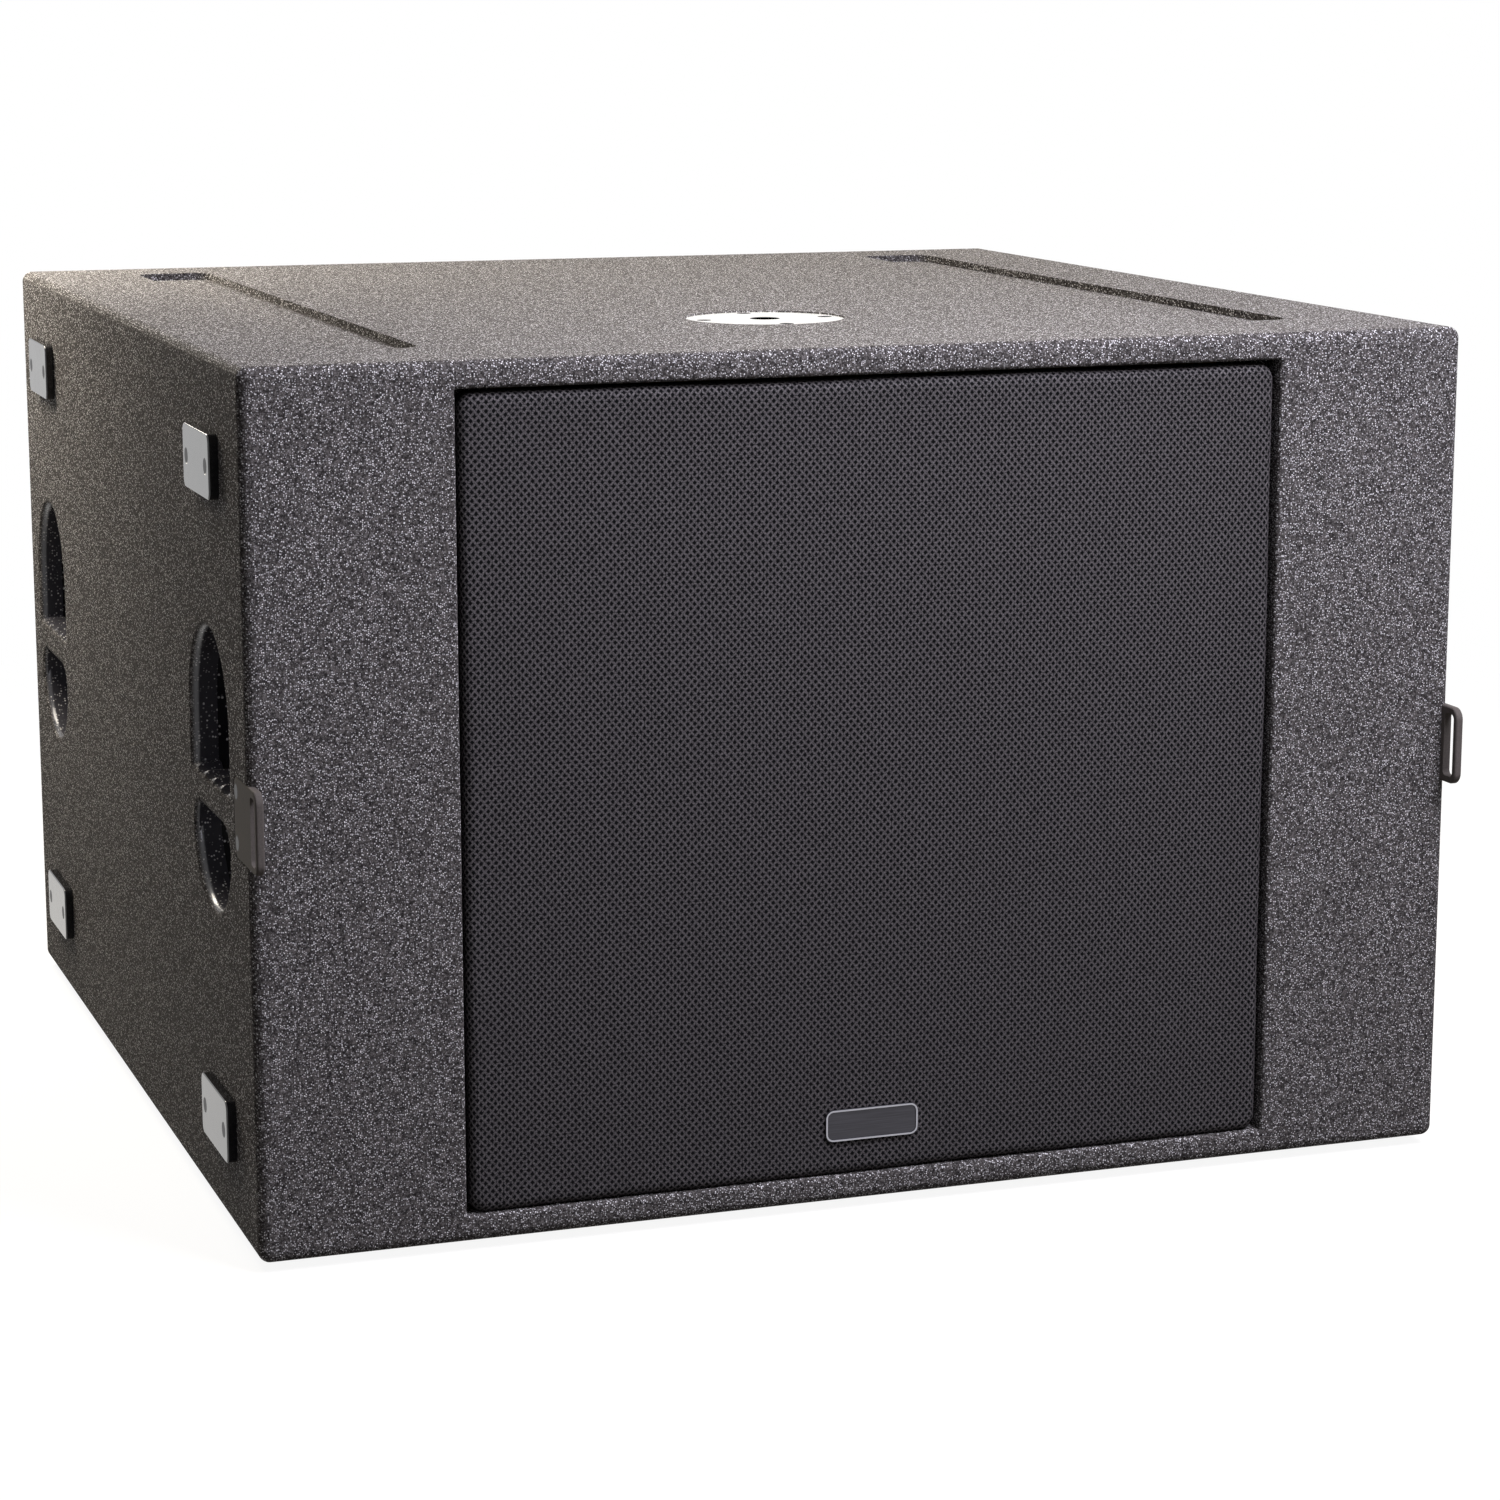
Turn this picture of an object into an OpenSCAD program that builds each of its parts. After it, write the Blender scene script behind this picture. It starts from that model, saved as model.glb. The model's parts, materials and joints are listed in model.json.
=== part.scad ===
// Subwoofer cabinet with two 15 inch woofers on a V-shaped baffle behind a cloth-covered grille.
// Millimetres. X to the right seen from the front, Y to the rear, Z up, standing on the bottom skids.

/* [Cabinet] */
// Outside width of the cabinet
cab_w = 708; // [690:1:760]
// Outside height of the cabinet, without its skids
cab_h = 480; // [460:1:560]
// Outside depth of the cabinet
cab_d = 705; // [690:1:800]
// Thickness of the plywood panels
panel_t = 15; // [12:0.5:18]
// Rounding of the outer edges
edge_r = 6.5; // [3:0.5:11]

/* [Front opening] */
// Width of the front opening
opening_w = 479; // [470:1:500]
// Rounding of the front edges of the opening
opening_edge_r = 2.5; // [1:0.5:5]
// Distance from the front face to the rear end of the cheeks
cheek_end = 45; // [42:1:55]

/* [Grille] */
// How far the grille lies behind the front face
grille_recess = 2; // [2:0.5:12]
// Gap between the grille and the opening, above and beside it
grille_gap = 2.5; // [2:0.5:7]
// Gap under the grille
grille_foot_gap = 0.5; // [0.5:0.5:5]
// Depth of the grille tray from its front to its lips
grille_depth = 16; // [12:0.5:20]
// Sheet thickness of the grille tray
grille_sheet = 1.5; // [1:0.25:2]
// Corner radius of the grille, seen from the front
grille_corner_r = 9; // [7:0.5:16]
// Radius of the grille's rolled front edge
grille_roll_r = 5; // [3.5:0.5:6.5]
// Width of the lips folded in behind the grille
grille_lip = 16; // [14:1:22]
// Diameter of the holes in the grille
grille_hole_d = 17; // [8:0.5:19]
// Spacing of the holes in the grille
grille_pitch = 23; // [21:0.5:40]
// Thickness of the cloth over the grille
cloth_t = 1.2; // [0.8:0.1:2]
// Width of the battens that the grille is pegged to
batten_w = 24; // [22:1:30]
// Depth of the battens that the grille is pegged to
batten_d = 16; // [12:1:17]
// Radius of the grille pegs
peg_r = 4; // [2.5:0.25:5]
// Length of the grille pegs behind the lips
peg_l = 10; // [6:0.5:11]

/* [Badge] */
// Width of the blank badge plate
badge_w = 55; // [30:1:80]
// Height of the blank badge plate
badge_h = 18; // [10:1:30]
// Thickness of the blank badge plate
badge_t = 1.6; // [1:0.1:3]
// Corner radius of the blank badge plate
badge_corner_r = 4.5; // [2:0.5:4.5]
// Place of the badge plate's centre to the right of the cabinet's middle
badge_x = -4; // [-40:1:40]
// Height of the badge plate's centre above the cabinet's underside
badge_z = 44.5; // [36:0.5:120]
// Width of the raised rim round the badge plate
badge_rim = 0.9; // [0.6:0.1:2]
// Depth of the field inside the badge plate's rim
badge_field = 0.6; // [0.2:0.1:0.8]

/* [Handles] */
// Width of a hand hole
handle_w = 98; // [90:1:110]
// Height of a hand hole
handle_h = 155; // [140:1:170]
// Height of a hand hole's centre above the cabinet's underside
handle_z = 252; // [200:0.5:280]
// Distance from the front face to the centre of the front hand holes
handle_front_y = 100; // [90:1:120]
// Distance from the back face to the centre of the rear hand holes
handle_rear_y = 83; // [82:1:120]
// Rounding of the hand holes' outer edge
handle_edge_r = 5; // [1:0.5:6]
// Height of the grip bar across a hand hole
grip_h = 21; // [16:0.5:30]
// Rounding of the grip bar's outer edges
grip_edge_r = 5; // [1:0.5:7]
// How far the grip bar's centre lies below the hand hole's centre
grip_drop = 15.5; // [0:0.5:20]
// Corner radius of the hand hole below the grip bar
grip_corner_r = 14; // [8:0.5:16]
// Rounding of that corner's outer edge
grip_corner_edge_r = 3; // [1:0.5:4]
// Finger grooves along the top of a grip bar
finger_count = 4; // [3:1:5]
// Spacing of the finger grooves
finger_pitch = 21; // [16:0.5:26]
// Radius of a finger groove
finger_r = 14; // [11:0.5:20]
// Depth of a finger groove
finger_depth = 4; // [1:0.5:6]
// Depth of the cups behind the side panels
cup_depth = 36; // [25:1:45]
// Wall thickness of the cups
cup_wall = 4; // [3:0.5:6]
// Radius between the walls and the floor of a cup
cup_floor_r = 24; // [6:1:24]
// Width of the flange round a cup
cup_flange = 10; // [6:1:12]

/* [Skids] */
// Length of a skid
skid_l = 68; // [50:1:80]
// Width of a skid
skid_w = 35; // [28:1:40]
// Thickness of a skid
skid_t = 5.5; // [4.5:0.25:9]
// Corner radius of a skid
skid_corner_r = 5; // [2:0.5:10]
// Rounding of a skid's face edge
skid_edge_r = 0.8; // [0.4:0.1:1.6]
// Spacing of a skid's two screws
skid_screw_pitch = 50; // [30:1:52]
// Distance from the front face to the front side skids
side_skid_front_y = 88; // [70:1:110]
// Distance from the back face to the rear side skids
side_skid_rear_y = 91; // [60:1:120]
// Height of the lower side skids above the cabinet's underside
side_skid_low_z = 58.5; // [40:0.5:90]
// Distance from the cabinet's top down to the upper side skids
side_skid_high_z = 57.5; // [40:0.5:90]
// Distance from a pocket's front end to the front bottom skids, which stack into it
bottom_skid_front_y = 52; // [36:1:120]
// Distance from a pocket's rear end to the rear bottom skids, which stack into it
bottom_skid_rear_y = 52; // [36:1:120]

/* [Stacking pockets] */
// Distance of a pocket's centre line from the middle of the cabinet
pocket_x = 261; // [240:1:280]
// Width of a pocket
pocket_w = 48; // [44:1:60]
// Length of a pocket
pocket_l = 572; // [550:1:580]
// Distance from the front face to the front end of a pocket
pocket_start = 78; // [60:1:84]
// Depth of a pocket
pocket_depth = 4.5; // [3:0.5:8]
// Corner radius of a pocket
pocket_r = 12; // [4:1:20]

/* [Pole flange] */
// Distance from the front face to the pole flange
flange_y = 192; // [140:1:240]
// Diameter of the pole flange
flange_d = 93; // [86:1:110]
// How far the pole flange lies below the top
flange_sink = 0.5; // [0:0.5:3]
// Plate thickness of the pole flange
flange_t = 4; // [3:0.5:6]
// Diameter of the boss under the pole flange
flange_boss_d = 34; // [28:1:44]
// Length of the boss under the pole flange
flange_boss_l = 30; // [20:1:40]
// Core radius of the M20 thread in the pole flange
thread_r = 8.65; // [7:0.05:10]
// Diameter of the circle that the flange screws lie on
flange_pcd = 75; // [62:0.5:76]

/* [Keeper loops] */
// Thickness of a keeper loop
loop_t = 4.5; // [3:0.5:6]
// Height of a keeper loop
loop_h = 45; // [43:1:56]
// Height of the loops' centre above the cabinet's underside
loop_z = 239; // [140:1:330]
// Length of the plate let into the side panel
loop_plate_l = 38; // [30:1:40]
// How far the loop stands out in front of the cabinet
loop_reach = 17; // [16:0.5:30]
// Width of the bar in front of the slot
loop_bar = 3.5; // [3:0.5:5]
// Width of the slot
loop_slot_w = 10.5; // [5:0.5:11]
// Length of the slot
loop_slot_h = 37; // [20:1:38]
// Corner radius of the slot
loop_slot_r = 3; // [1:0.5:4]
// Radius of the loop's corners
loop_corner_r = 7; // [3:0.5:10]
// Rounding of the loop's outer edges
loop_edge_r = 1.2; // [0.4:0.1:1.4]
// Spacing of the two screws of a loop
loop_screw_pitch = 28; // [18:1:30]

/* [Woofer chamber] */
// Width of the port slot between the port walls
port_w = 60; // [50:1:66]
// Distance from the front face to the rear ends of the baffles
baffle_rear = 398; // [390:1:420]
// Distance from the back face to the rear ends of the port walls
port_rear = 105; // [65:1:165]
// Distance from the back face to the middle of the braces
brace_y = 195; // [190:1:235]
// Width of the braces
brace_w = 60; // [40:1:80]

/* [Woofers] */
// Outside diameter of a woofer's frame
frame_d = 388; // [380:1:390]
// Thickness of the frame's flange
frame_flange_t = 7; // [5:0.5:9]
// Diameter of the hole in the baffle
cutout_d = 354; // [348:1:356]
// Diameter of the circle that the woofer screws lie on
frame_pcd = 371; // [368:0.5:373]
// Woofer screws
frame_screws = 8; // [6:1:10]
// Depth of the frame from the flange to the magnet
basket_h = 104; // [96:1:112]
// Wall thickness of the frame
basket_wall = 6; // [4:0.5:8]
// Spokes of the frame
spoke_count = 6; // [4:1:8]
// Angle that one spoke takes up
spoke_angle = 20; // [14:1:26]
// Outside radius of the frame's neck
neck_r = 92; // [88:1:98]
// Height of the frame's neck
neck_l = 22; // [18:1:26]
// Thickness of the ring that the magnet is bolted to
seat_t = 14; // [10:0.5:16]
// Thickness of the gasket under the flange
gasket_t = 2; // [1:0.25:3]
// Radius of the voice coil former
coil_r = 51; // [45:0.5:53]
// Wall thickness of the voice coil former
former_t = 2; // [1:0.25:2.5]
// Height of the voice coil winding
winding_h = 24; // [16:1:28]
// Thickness of the winding on the former
winding_t = 1.2; // [0.6:0.1:1.6]
// Clearance on each side of the voice coil
coil_gap = 1; // [0.6:0.1:1.6]
// Thickness of the front plate of the magnet
top_plate_t = 10; // [8:0.5:12]
// Outside radius of the magnet plates
plate_r = 86; // [84:1:92]
// Outside radius of the magnet
magnet_r = 90; // [84:1:92]
// Thickness of the magnet
magnet_t = 25; // [22:1:28]
// Thickness of the back plate of the magnet
back_plate_t = 12; // [8:0.5:14]
// Radius of the vent through the pole piece
vent_r = 18; // [8:1:30]
// Outside radius of the cone
cone_r = 150; // [144:0.5:151]
// Thickness of the cone
cone_t = 2; // [1.5:0.25:3]
// Radius of the surround's half roll
roll_r = 9; // [7:0.25:9]
// Thickness of the surround
surround_t = 1.2; // [0.8:0.1:1.6]
// Radius of the dust cap
dust_cap_r = 62; // [58:1:80]
// Rise of the dust cap
dust_cap_rise = 20; // [12:1:24]
// Waves in the spider
spider_waves = 4; // [3:1:5]
// Height of the spider's waves
spider_wave_h = 3; // [2:0.25:3.5]
// Thickness of the spider
spider_t = 1; // [0.6:0.1:1.2]

/* [Rear connectors] */
// Width of the connector plate
conn_w = 150; // [136:1:200]
// Height of the connector plate
conn_h = 92; // [80:1:120]
// Thickness of the connector plate
conn_t = 2; // [1.5:0.25:3]
// Depth of the recess for the connector plate
conn_recess = 7; // [6.5:0.25:8]
// Corner radius of the connector plate
conn_corner_r = 6; // [3:0.5:12]
// Height of the connector plate's centre above the cabinet's underside
conn_z = 120; // [100:1:340]
// Spacing of the two sockets
socket_pitch = 56; // [44:1:60]
// Side of a socket's square flange
socket_side = 32; // [30:0.5:36]
// Thickness of a socket's flange
socket_flange_t = 2.5; // [1.5:0.25:3]
// Outside radius of a socket's body
socket_r = 13.5; // [13:0.25:14.5]
// Radius of the round hole in a socket
socket_bore_r = 11.6; // [11.25:0.05:12]
// Radius of the contact core in a socket
socket_core_r = 6; // [5:0.25:6.5]
// Depth of a socket behind its flange
socket_l = 26; // [20:1:34]

/* [Screws] */
// Radius of the countersunk screws' heads
csk_head_r = 4.2; // [3.5:0.1:4.6]
// Height of the countersunk screws' heads
csk_head_h = 2.6; // [2:0.1:2.8]
// Radius of the countersunk screws' shanks
csk_shank_r = 2; // [1.5:0.1:2.4]
// Length that the countersunk screws go into the wood
csk_bite = 8; // [5:0.5:9]
// Radius of the small pan head screws' heads
pan_head_r = 3; // [2.2:0.1:3.2]
// Height of the small pan head screws' heads
pan_head_h = 2; // [1.4:0.1:2.4]
// Radius of the small pan head screws' shanks
pan_shank_r = 1.4; // [1:0.1:1.6]
// Radius of the woofer screws' heads
cap_head_r = 5; // [4.5:0.1:5.5]
// Height of the woofer screws' heads
cap_head_h = 6; // [4:0.25:7]
// Radius of the woofer screws' shanks
cap_shank_r = 3; // [2.5:0.1:3.2]

/* [Hidden] */
$fn = 48;
// Clearance round a piece let into another
seat_gap = 0.3;
// Clearance round the shank of a screw
screw_gap = 0.2;
// Overlap that lets a cut pass right through a face
past = 1;

inner_w = cab_w - 2 * panel_t;
inner_h = cab_h - 2 * panel_t;
front_y = -(cab_d - loop_reach) / 2;
base_z = skid_t;

baffle_angle = atan((opening_w - port_w) / 2 / (baffle_rear - cheek_end));
baffle_x = (opening_w + port_w) / 4;
baffle_y = (cheek_end + baffle_rear) / 2;
baffle_slant_t = panel_t / cos(baffle_angle);

grille_w = opening_w - 2 * grille_gap;
grille_h = inner_h - grille_gap - grille_foot_gap;
tray_front = grille_recess + cloth_t;
tray_back = grille_recess + grille_depth;
peg_x = grille_w / 2 - cloth_t - (grille_sheet + grille_lip) / 2;
// Heights of the pegs as parts of the opening's height
peg_z = [0.12, 0.5, 0.88];
peg_head_h = 2;
peg_head_r = peg_r + 1.5;

// Distance of the loop screws from the end of the loop's plate
loop_screw_in = 6;
// Distance of the connector plate's screws from its edges
conn_screw_in = 7;
// Length that the connector screws go into the wood
conn_bite = 5;
// Place of a socket's screws, across and up from its centre
socket_screw_at = 12;
// Corner radius of a socket's flange, and thickness of the floor of its bore
socket_corner_r = 3;
socket_floor_t = 2;
// Width and depth of a socket's keyways, and their height above its floor
keyway_w = 4;
keyway_d = 1;
keyway_up = 6;
// How far the contact core stops short of the socket's flange
core_drop = 3;
// Width and depth of the contact slots in the core, and their height above its foot
contact_w = 3;
contact_d = 1;
contact_up = 2;

handle_r = handle_w / 2;
handle_straight = handle_h - handle_w;
handle_ys = [handle_front_y, cab_d - handle_rear_y];
// How far a rounded corner under a grip bar starts inside the bar and the hand hole's side
grip_corner_step = 0.4;
side_skid_ys = [side_skid_front_y, cab_d - side_skid_rear_y];
side_skid_zs = [side_skid_low_z, cab_h - side_skid_high_z];
bottom_skid_ys = [pocket_start + bottom_skid_front_y, pocket_start + pocket_l - bottom_skid_rear_y];

// Clearance between the frame's throat and the hole in the baffle
throat_gap = 1.5;
throat_r = cutout_d / 2 - throat_gap;
throat_l = 20;
// Wood left in front of the woofer screws' points
screw_cover = 2;
// How far the gasket stays inside the edge of the frame
gasket_in = 1;
// Size of the terminal block on a frame's neck
terminal_block = [24, 12, 15];
// How far the terminal block lies round the neck, and above its foot
terminal_hug = 2;
terminal_up = 1;
// Radius, spacing and place of the block's wire holes outside the neck
terminal_hole_r = 2.5;
terminal_pitch = 12;
terminal_hole_at = 4;
window_edge = 4;
frame_r = frame_d / 2;
flange_z0 = gasket_t;
flange_z1 = gasket_t + frame_flange_t;
ledge_z = gasket_t + 1;
neck_in_r = neck_r - basket_wall;
neck_top = -(basket_h - neck_l);
seat_top = -(basket_h - seat_t);
cone_neck_l = 8;
former_out_r = coil_r + former_t / 2;
former_in_r = coil_r - former_t / 2;
gap_out_r = former_out_r + winding_t + coil_gap;
pole_r = former_in_r - coil_gap;
// How far the magnet's hole is wider than the gap
magnet_in = 6;
plate_z = -basket_h;
magnet_z = plate_z - top_plate_t;
back_z = magnet_z - magnet_t;
winding_mid = plate_z - top_plate_t / 2;
former_top = seat_top + cone_neck_l * 2;
// How far the former runs on below the winding
former_tail = 2;
former_bottom = winding_mid - winding_h / 2 - former_tail;
// Clearance of the glue line round the former, and under the dust cap's foot
glue_gap = 0.05;
cap_glue_gap = 0.2;
cone_edge_z = ledge_z - seat_gap;
surround_glue = 7.5;
surround_out_r = cone_r + 2 * roll_r + surround_glue;
cone_glue = 7;
spider_rim = 8;
seat_r = neck_in_r - spider_rim;

paint = "#4a474a";
bare_ply = "#b08d5c";
black_plastic = "#1c1c1f";
loop_grey = "#4b4848";
black_steel = "#26262a";
zinc = "#c9c9c6";
cloth_black = "#2e2c31";
cast_black = "#333336";
ferrite = "#3c3a38";
cone_paper = "#2a2724";
rubber = "#1f1f20";
amber_cloth = "#b5822f";
copper = "#b87333";
cork = "#5a4a38";

// Places
// Cabinet coordinates: X from the middle, Y back from the front face, Z up from the underside
module in_cabinet() {
    translate([0, front_y, base_z]) children();
}

// Draws a right-hand piece on the right (1) or its mirror image on the left (-1)
module on_side(side) {
    in_cabinet() mirror([side < 0 ? 1 : 0, 0, 0]) children();
}

// Woofer coordinates: Z out of the cone along its axis, zero on the baffle's chamber face
module at_woofer(side) {
    on_side(side)
        translate([baffle_x, baffle_y, cab_h / 2])
            rotate([0, 90, 180 + baffle_angle])
                children();
}

// Skid coordinates: Z out of the panel, long side along the depth
module at_side_skids() {
    in_cabinet()
        for (y = side_skid_ys, z = side_skid_zs)
            translate([-cab_w / 2, y, z]) rotate([0, -90, 0]) rotate(90) children();
}

module at_bottom_skids() {
    in_cabinet()
        for (side = [-1, 1], y = bottom_skid_ys)
            translate([side * pocket_x, y, 0]) rotate([180, 0, 90]) children();
}

module at_skid_screws() {
    for (s = [-1, 1]) translate([s * skid_screw_pitch / 2, 0, skid_t]) children();
}

module at_flange() {
    in_cabinet() translate([0, flange_y, cab_h - flange_sink]) children();
}

module at_flange_screws() {
    for (a = [0 : 90 : 270]) rotate(a) translate([flange_pcd / 2, 0, 0]) children();
}

module at_loop_screws() {
    for (s = [-1, 1])
        translate([cab_w / 2, loop_plate_l - loop_screw_in, loop_z + s * loop_screw_pitch / 2])
            rotate([0, 90, 0])
                children();
}

module at_pegs() {
    for (side = [-1, 1], f = peg_z)
        in_cabinet()
            translate([side * peg_x, tray_back, panel_t + f * inner_h])
                rotate([90, 0, 0])
                    children();
}

// Rear coordinates: X to the right seen from behind, Z out of the back
module at_back() {
    in_cabinet() translate([0, cab_d, conn_z]) rotate([90, 0, 180]) children();
}

module at_sockets() {
    for (s = [-1, 1]) translate([s * socket_pitch / 2, 0, -conn_recess + conn_t]) children();
}

module at_plate_screws() {
    for (sx = [-1, 1], sy = [-1, 1])
        translate([
            sx * (conn_w / 2 - conn_screw_in),
            sy * (conn_h / 2 - conn_screw_in),
            -conn_recess + conn_t
        ])
            children();
}

module at_socket_screws() {
    at_sockets()
        for (s = [-1, 1])
            translate([s * socket_screw_at, s * socket_screw_at, socket_flange_t]) children();
}

module at_frame_screws() {
    for (i = [0 : frame_screws - 1])
        rotate((i + 0.5) * 360 / frame_screws) translate([frame_pcd / 2, 0, 0]) children();
}

// Shared shapes
module quarter_disc(r) {
    intersection() {
        circle(r);
        square(r);
    }
}

// Half section of a plate whose upper outer edge is rounded
module rolled_section(reach, t, roll) {
    square([reach, t - roll]);
    if (reach > roll) square([reach - roll, t]);
    translate([reach - roll, t - roll]) quarter_disc(roll);
}

// Plate on the XY plane with rounded corners and a rounded upper edge
module edged_plate(w, d, t, corner, roll) {
    for (m = [0, 1])
        mirror([m, 0, 0])
            rotate([90, 0, 0])
                linear_extrude(d - 2 * corner, center = true) rolled_section(w / 2, t, roll);
    for (m = [0, 1])
        mirror([0, m, 0])
            translate([0, d / 2 - corner, 0])
                rotate([90, 0, 90])
                    linear_extrude(w - 2 * corner, center = true) rolled_section(corner, t, roll);
    for (mx = [0, 1], my = [0, 1])
        mirror([mx, 0, 0])
            mirror([0, my, 0])
                translate([w / 2 - corner, d / 2 - corner, 0])
                    rotate_extrude(angle = 90) rolled_section(corner, t, roll);
}

// Rectangle with rounded corners, centred
module round_rect(w, h, r) {
    square([w - 2 * r, h], center = true);
    square([w, h - 2 * r], center = true);
    for (sx = [-1, 1], sy = [-1, 1])
        translate([sx * (w / 2 - r), sy * (h / 2 - r)]) circle(r);
}

// Corner left over between two straight edges and a round one, for rounding an edge off
module edge_cut(r) {
    difference() {
        square(r + past);
        square(r);
    }
    difference() {
        square(r);
        circle(r);
    }
}

module ring(r_out, r_in, z0, z1) {
    translate([0, 0, z0])
        difference() {
            cylinder(r = r_out, h = z1 - z0);
            translate([0, 0, -past]) cylinder(r = r_in, h = z1 - z0 + 2 * past);
        }
}

// Countersunk screw whose head lies level with Z zero
module csk_screw(l) {
    translate([0, 0, -csk_head_h]) cylinder(r1 = csk_shank_r, r2 = csk_head_r, h = csk_head_h);
    translate([0, 0, -l]) cylinder(r = csk_shank_r, h = l - csk_head_h);
}

module csk_hole(l) {
    translate([0, 0, -csk_head_h])
        cylinder(r1 = csk_shank_r + screw_gap, r2 = csk_head_r + screw_gap, h = csk_head_h);
    translate([0, 0, -l]) cylinder(r = csk_shank_r + screw_gap, h = l + past);
    cylinder(r = csk_head_r + screw_gap, h = past);
}

// Screw with a flat-bottomed round head that sits on Z zero
module headed_screw(head_r, head_h, shank_r, l) {
    difference() {
        cylinder(r = head_r, h = head_h);
        translate([0, 0, head_h / 2]) cylinder(r = head_r / 2, h = head_h, $fn = 6);
    }
    translate([0, 0, -l]) cylinder(r = shank_r, h = l);
}

module clear_hole(shank_r, l) {
    translate([0, 0, -l]) cylinder(r = shank_r + screw_gap, h = l + past);
}

// Panels
// Rounds off the front edge of a panel above (1) or below (-1) the opening
module opening_edge(z, up) {
    in_cabinet()
        translate([0, opening_edge_r, z + up * opening_edge_r])
            rotate([90, 0, 90])
                linear_extrude(opening_w, center = true)
                    mirror([0, up > 0 ? 1 : 0]) mirror([1, 0]) edge_cut(opening_edge_r);
}

module top_panel() {
    color(paint)
        difference() {
            in_cabinet()
                translate([0, cab_d / 2, cab_h - panel_t])
                    edged_plate(cab_w, cab_d, panel_t, edge_r, edge_r);
            in_cabinet()
                for (side = [-1, 1])
                    translate([side * pocket_x, pocket_start + pocket_l / 2, cab_h - pocket_depth])
                        linear_extrude(pocket_depth + past) round_rect(pocket_w, pocket_l, pocket_r);
            at_flange() {
                translate([0, 0, -flange_t])
                    cylinder(d = flange_d + 2 * seat_gap, h = flange_t + flange_sink + past);
                translate([0, 0, -panel_t - past])
                    cylinder(d = flange_boss_d + 2 * seat_gap, h = panel_t + 2 * past);
                at_flange_screws() clear_hole(csk_shank_r, flange_t + csk_bite);
            }
            opening_edge(cab_h - panel_t, 1);
        }
}

module bottom_panel() {
    color(paint)
        difference() {
            in_cabinet()
                translate([0, cab_d / 2, panel_t])
                    mirror([0, 0, 1]) edged_plate(cab_w, cab_d, panel_t, edge_r, edge_r);
            at_bottom_skids() at_skid_screws() clear_hole(csk_shank_r, skid_t + csk_bite);
            opening_edge(panel_t, -1);
        }
}

module side_section() {
    square([panel_t - edge_r, cab_d]);
    translate([0, edge_r]) square([panel_t, cab_d - 2 * edge_r]);
    translate([panel_t - edge_r, cab_d - edge_r]) quarter_disc(edge_r);
    translate([panel_t - edge_r, edge_r]) mirror([0, 1]) quarter_disc(edge_r);
}

// Hand hole seen from the side, its centre on the origin
module hand_hole_outline(grow = 0) {
    for (s = [-1, 1]) translate([0, s * handle_straight / 2]) circle(handle_r + grow);
    square([handle_w + 2 * grow, handle_straight], center = true);
}

// Section of a grip bar: X up, Y out of the panel, its outer edges rounded
module grip_section() {
    flat = grip_h - 2 * grip_edge_r;
    translate([-grip_h / 2, -panel_t - 2 * past]) square([grip_h, panel_t + 2 * past - grip_edge_r]);
    translate([-flat / 2, -panel_t]) square([flat, panel_t + 2 * past]);
    for (s = [-1, 1]) translate([s * flat / 2, -grip_edge_r]) circle(grip_edge_r);
}

// Grip bar with finger grooves along its top edge, Z zero on the panel's face
module grip_bar() {
    translate([0, -grip_drop, 0])
        difference() {
            rotate([90, 0, 90])
                linear_extrude(handle_w + 2 * handle_edge_r + 2 * past, center = true) grip_section();
            for (i = [0 : finger_count - 1])
                translate([
                    (i - (finger_count - 1) / 2) * finger_pitch,
                    grip_h / 2 + finger_r - finger_depth,
                    -panel_t - 3 * past
                ])
                    cylinder(r = finger_r, h = panel_t + 6 * past);
        }
    for (m = [0, 1]) mirror([m, 0, 0]) grip_corner();
}

// Rounded corner between the underside of a grip bar and the hand hole's side
module grip_corner() {
    up = -grip_drop - grip_h / 2 - grip_corner_r;
    // The corner runs into the hole's round end where that starts higher up
    down = max(0, -handle_straight / 2 - up);
    across = sqrt(pow(handle_r - grip_corner_r, 2) - pow(down, 2)) + grip_corner_step;
    start = atan2(-down, across);
    translate([across, up + grip_corner_step, 0])
        rotate(start)
            rotate_extrude(angle = 90 - start) grip_corner_section();
}

module grip_corner_section() {
    translate([grip_corner_r, 0])
        difference() {
            translate([0, -panel_t - 2 * past]) square([grip_corner_r, panel_t + 3 * past]);
            translate([grip_corner_edge_r, -grip_corner_edge_r])
                mirror([1, 0]) edge_cut(grip_corner_edge_r);
        }
}

// Rounds the hand hole's outer edge, Z zero on the panel's face
module hand_hole_flare() {
    for (s = [0, 180])
        rotate(s)
            translate([0, handle_straight / 2, 0])
                rotate_extrude(angle = 180) flare_section();
    for (m = [0, 1])
        mirror([m, 0, 0])
            translate([0, handle_straight / 2, 0])
                rotate([90, 0, 0]) linear_extrude(handle_straight) flare_section();
}

module flare_section() {
    translate([handle_r - past, -handle_edge_r])
        difference() {
            square([handle_edge_r + past, handle_edge_r + past]);
            translate([handle_edge_r + past, 0]) circle(handle_edge_r);
        }
}

module hand_hole_cut() {
    rotate([90, 0, 90]) {
        difference() {
            union() {
                translate([0, 0, -panel_t - past]) linear_extrude(panel_t + 2 * past) hand_hole_outline();
                hand_hole_flare();
            }
            grip_bar();
        }
    }
}

module loop_rebate() {
    translate([cab_w / 2 - loop_t, (loop_plate_l - loop_reach) / 2, loop_z])
        rotate([90, 0, 90])
            linear_extrude(loop_t + past)
                round_rect(
                    loop_plate_l + loop_reach + 2 * seat_gap,
                    loop_h + 2 * seat_gap,
                    loop_corner_r + seat_gap
                );
}

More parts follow.
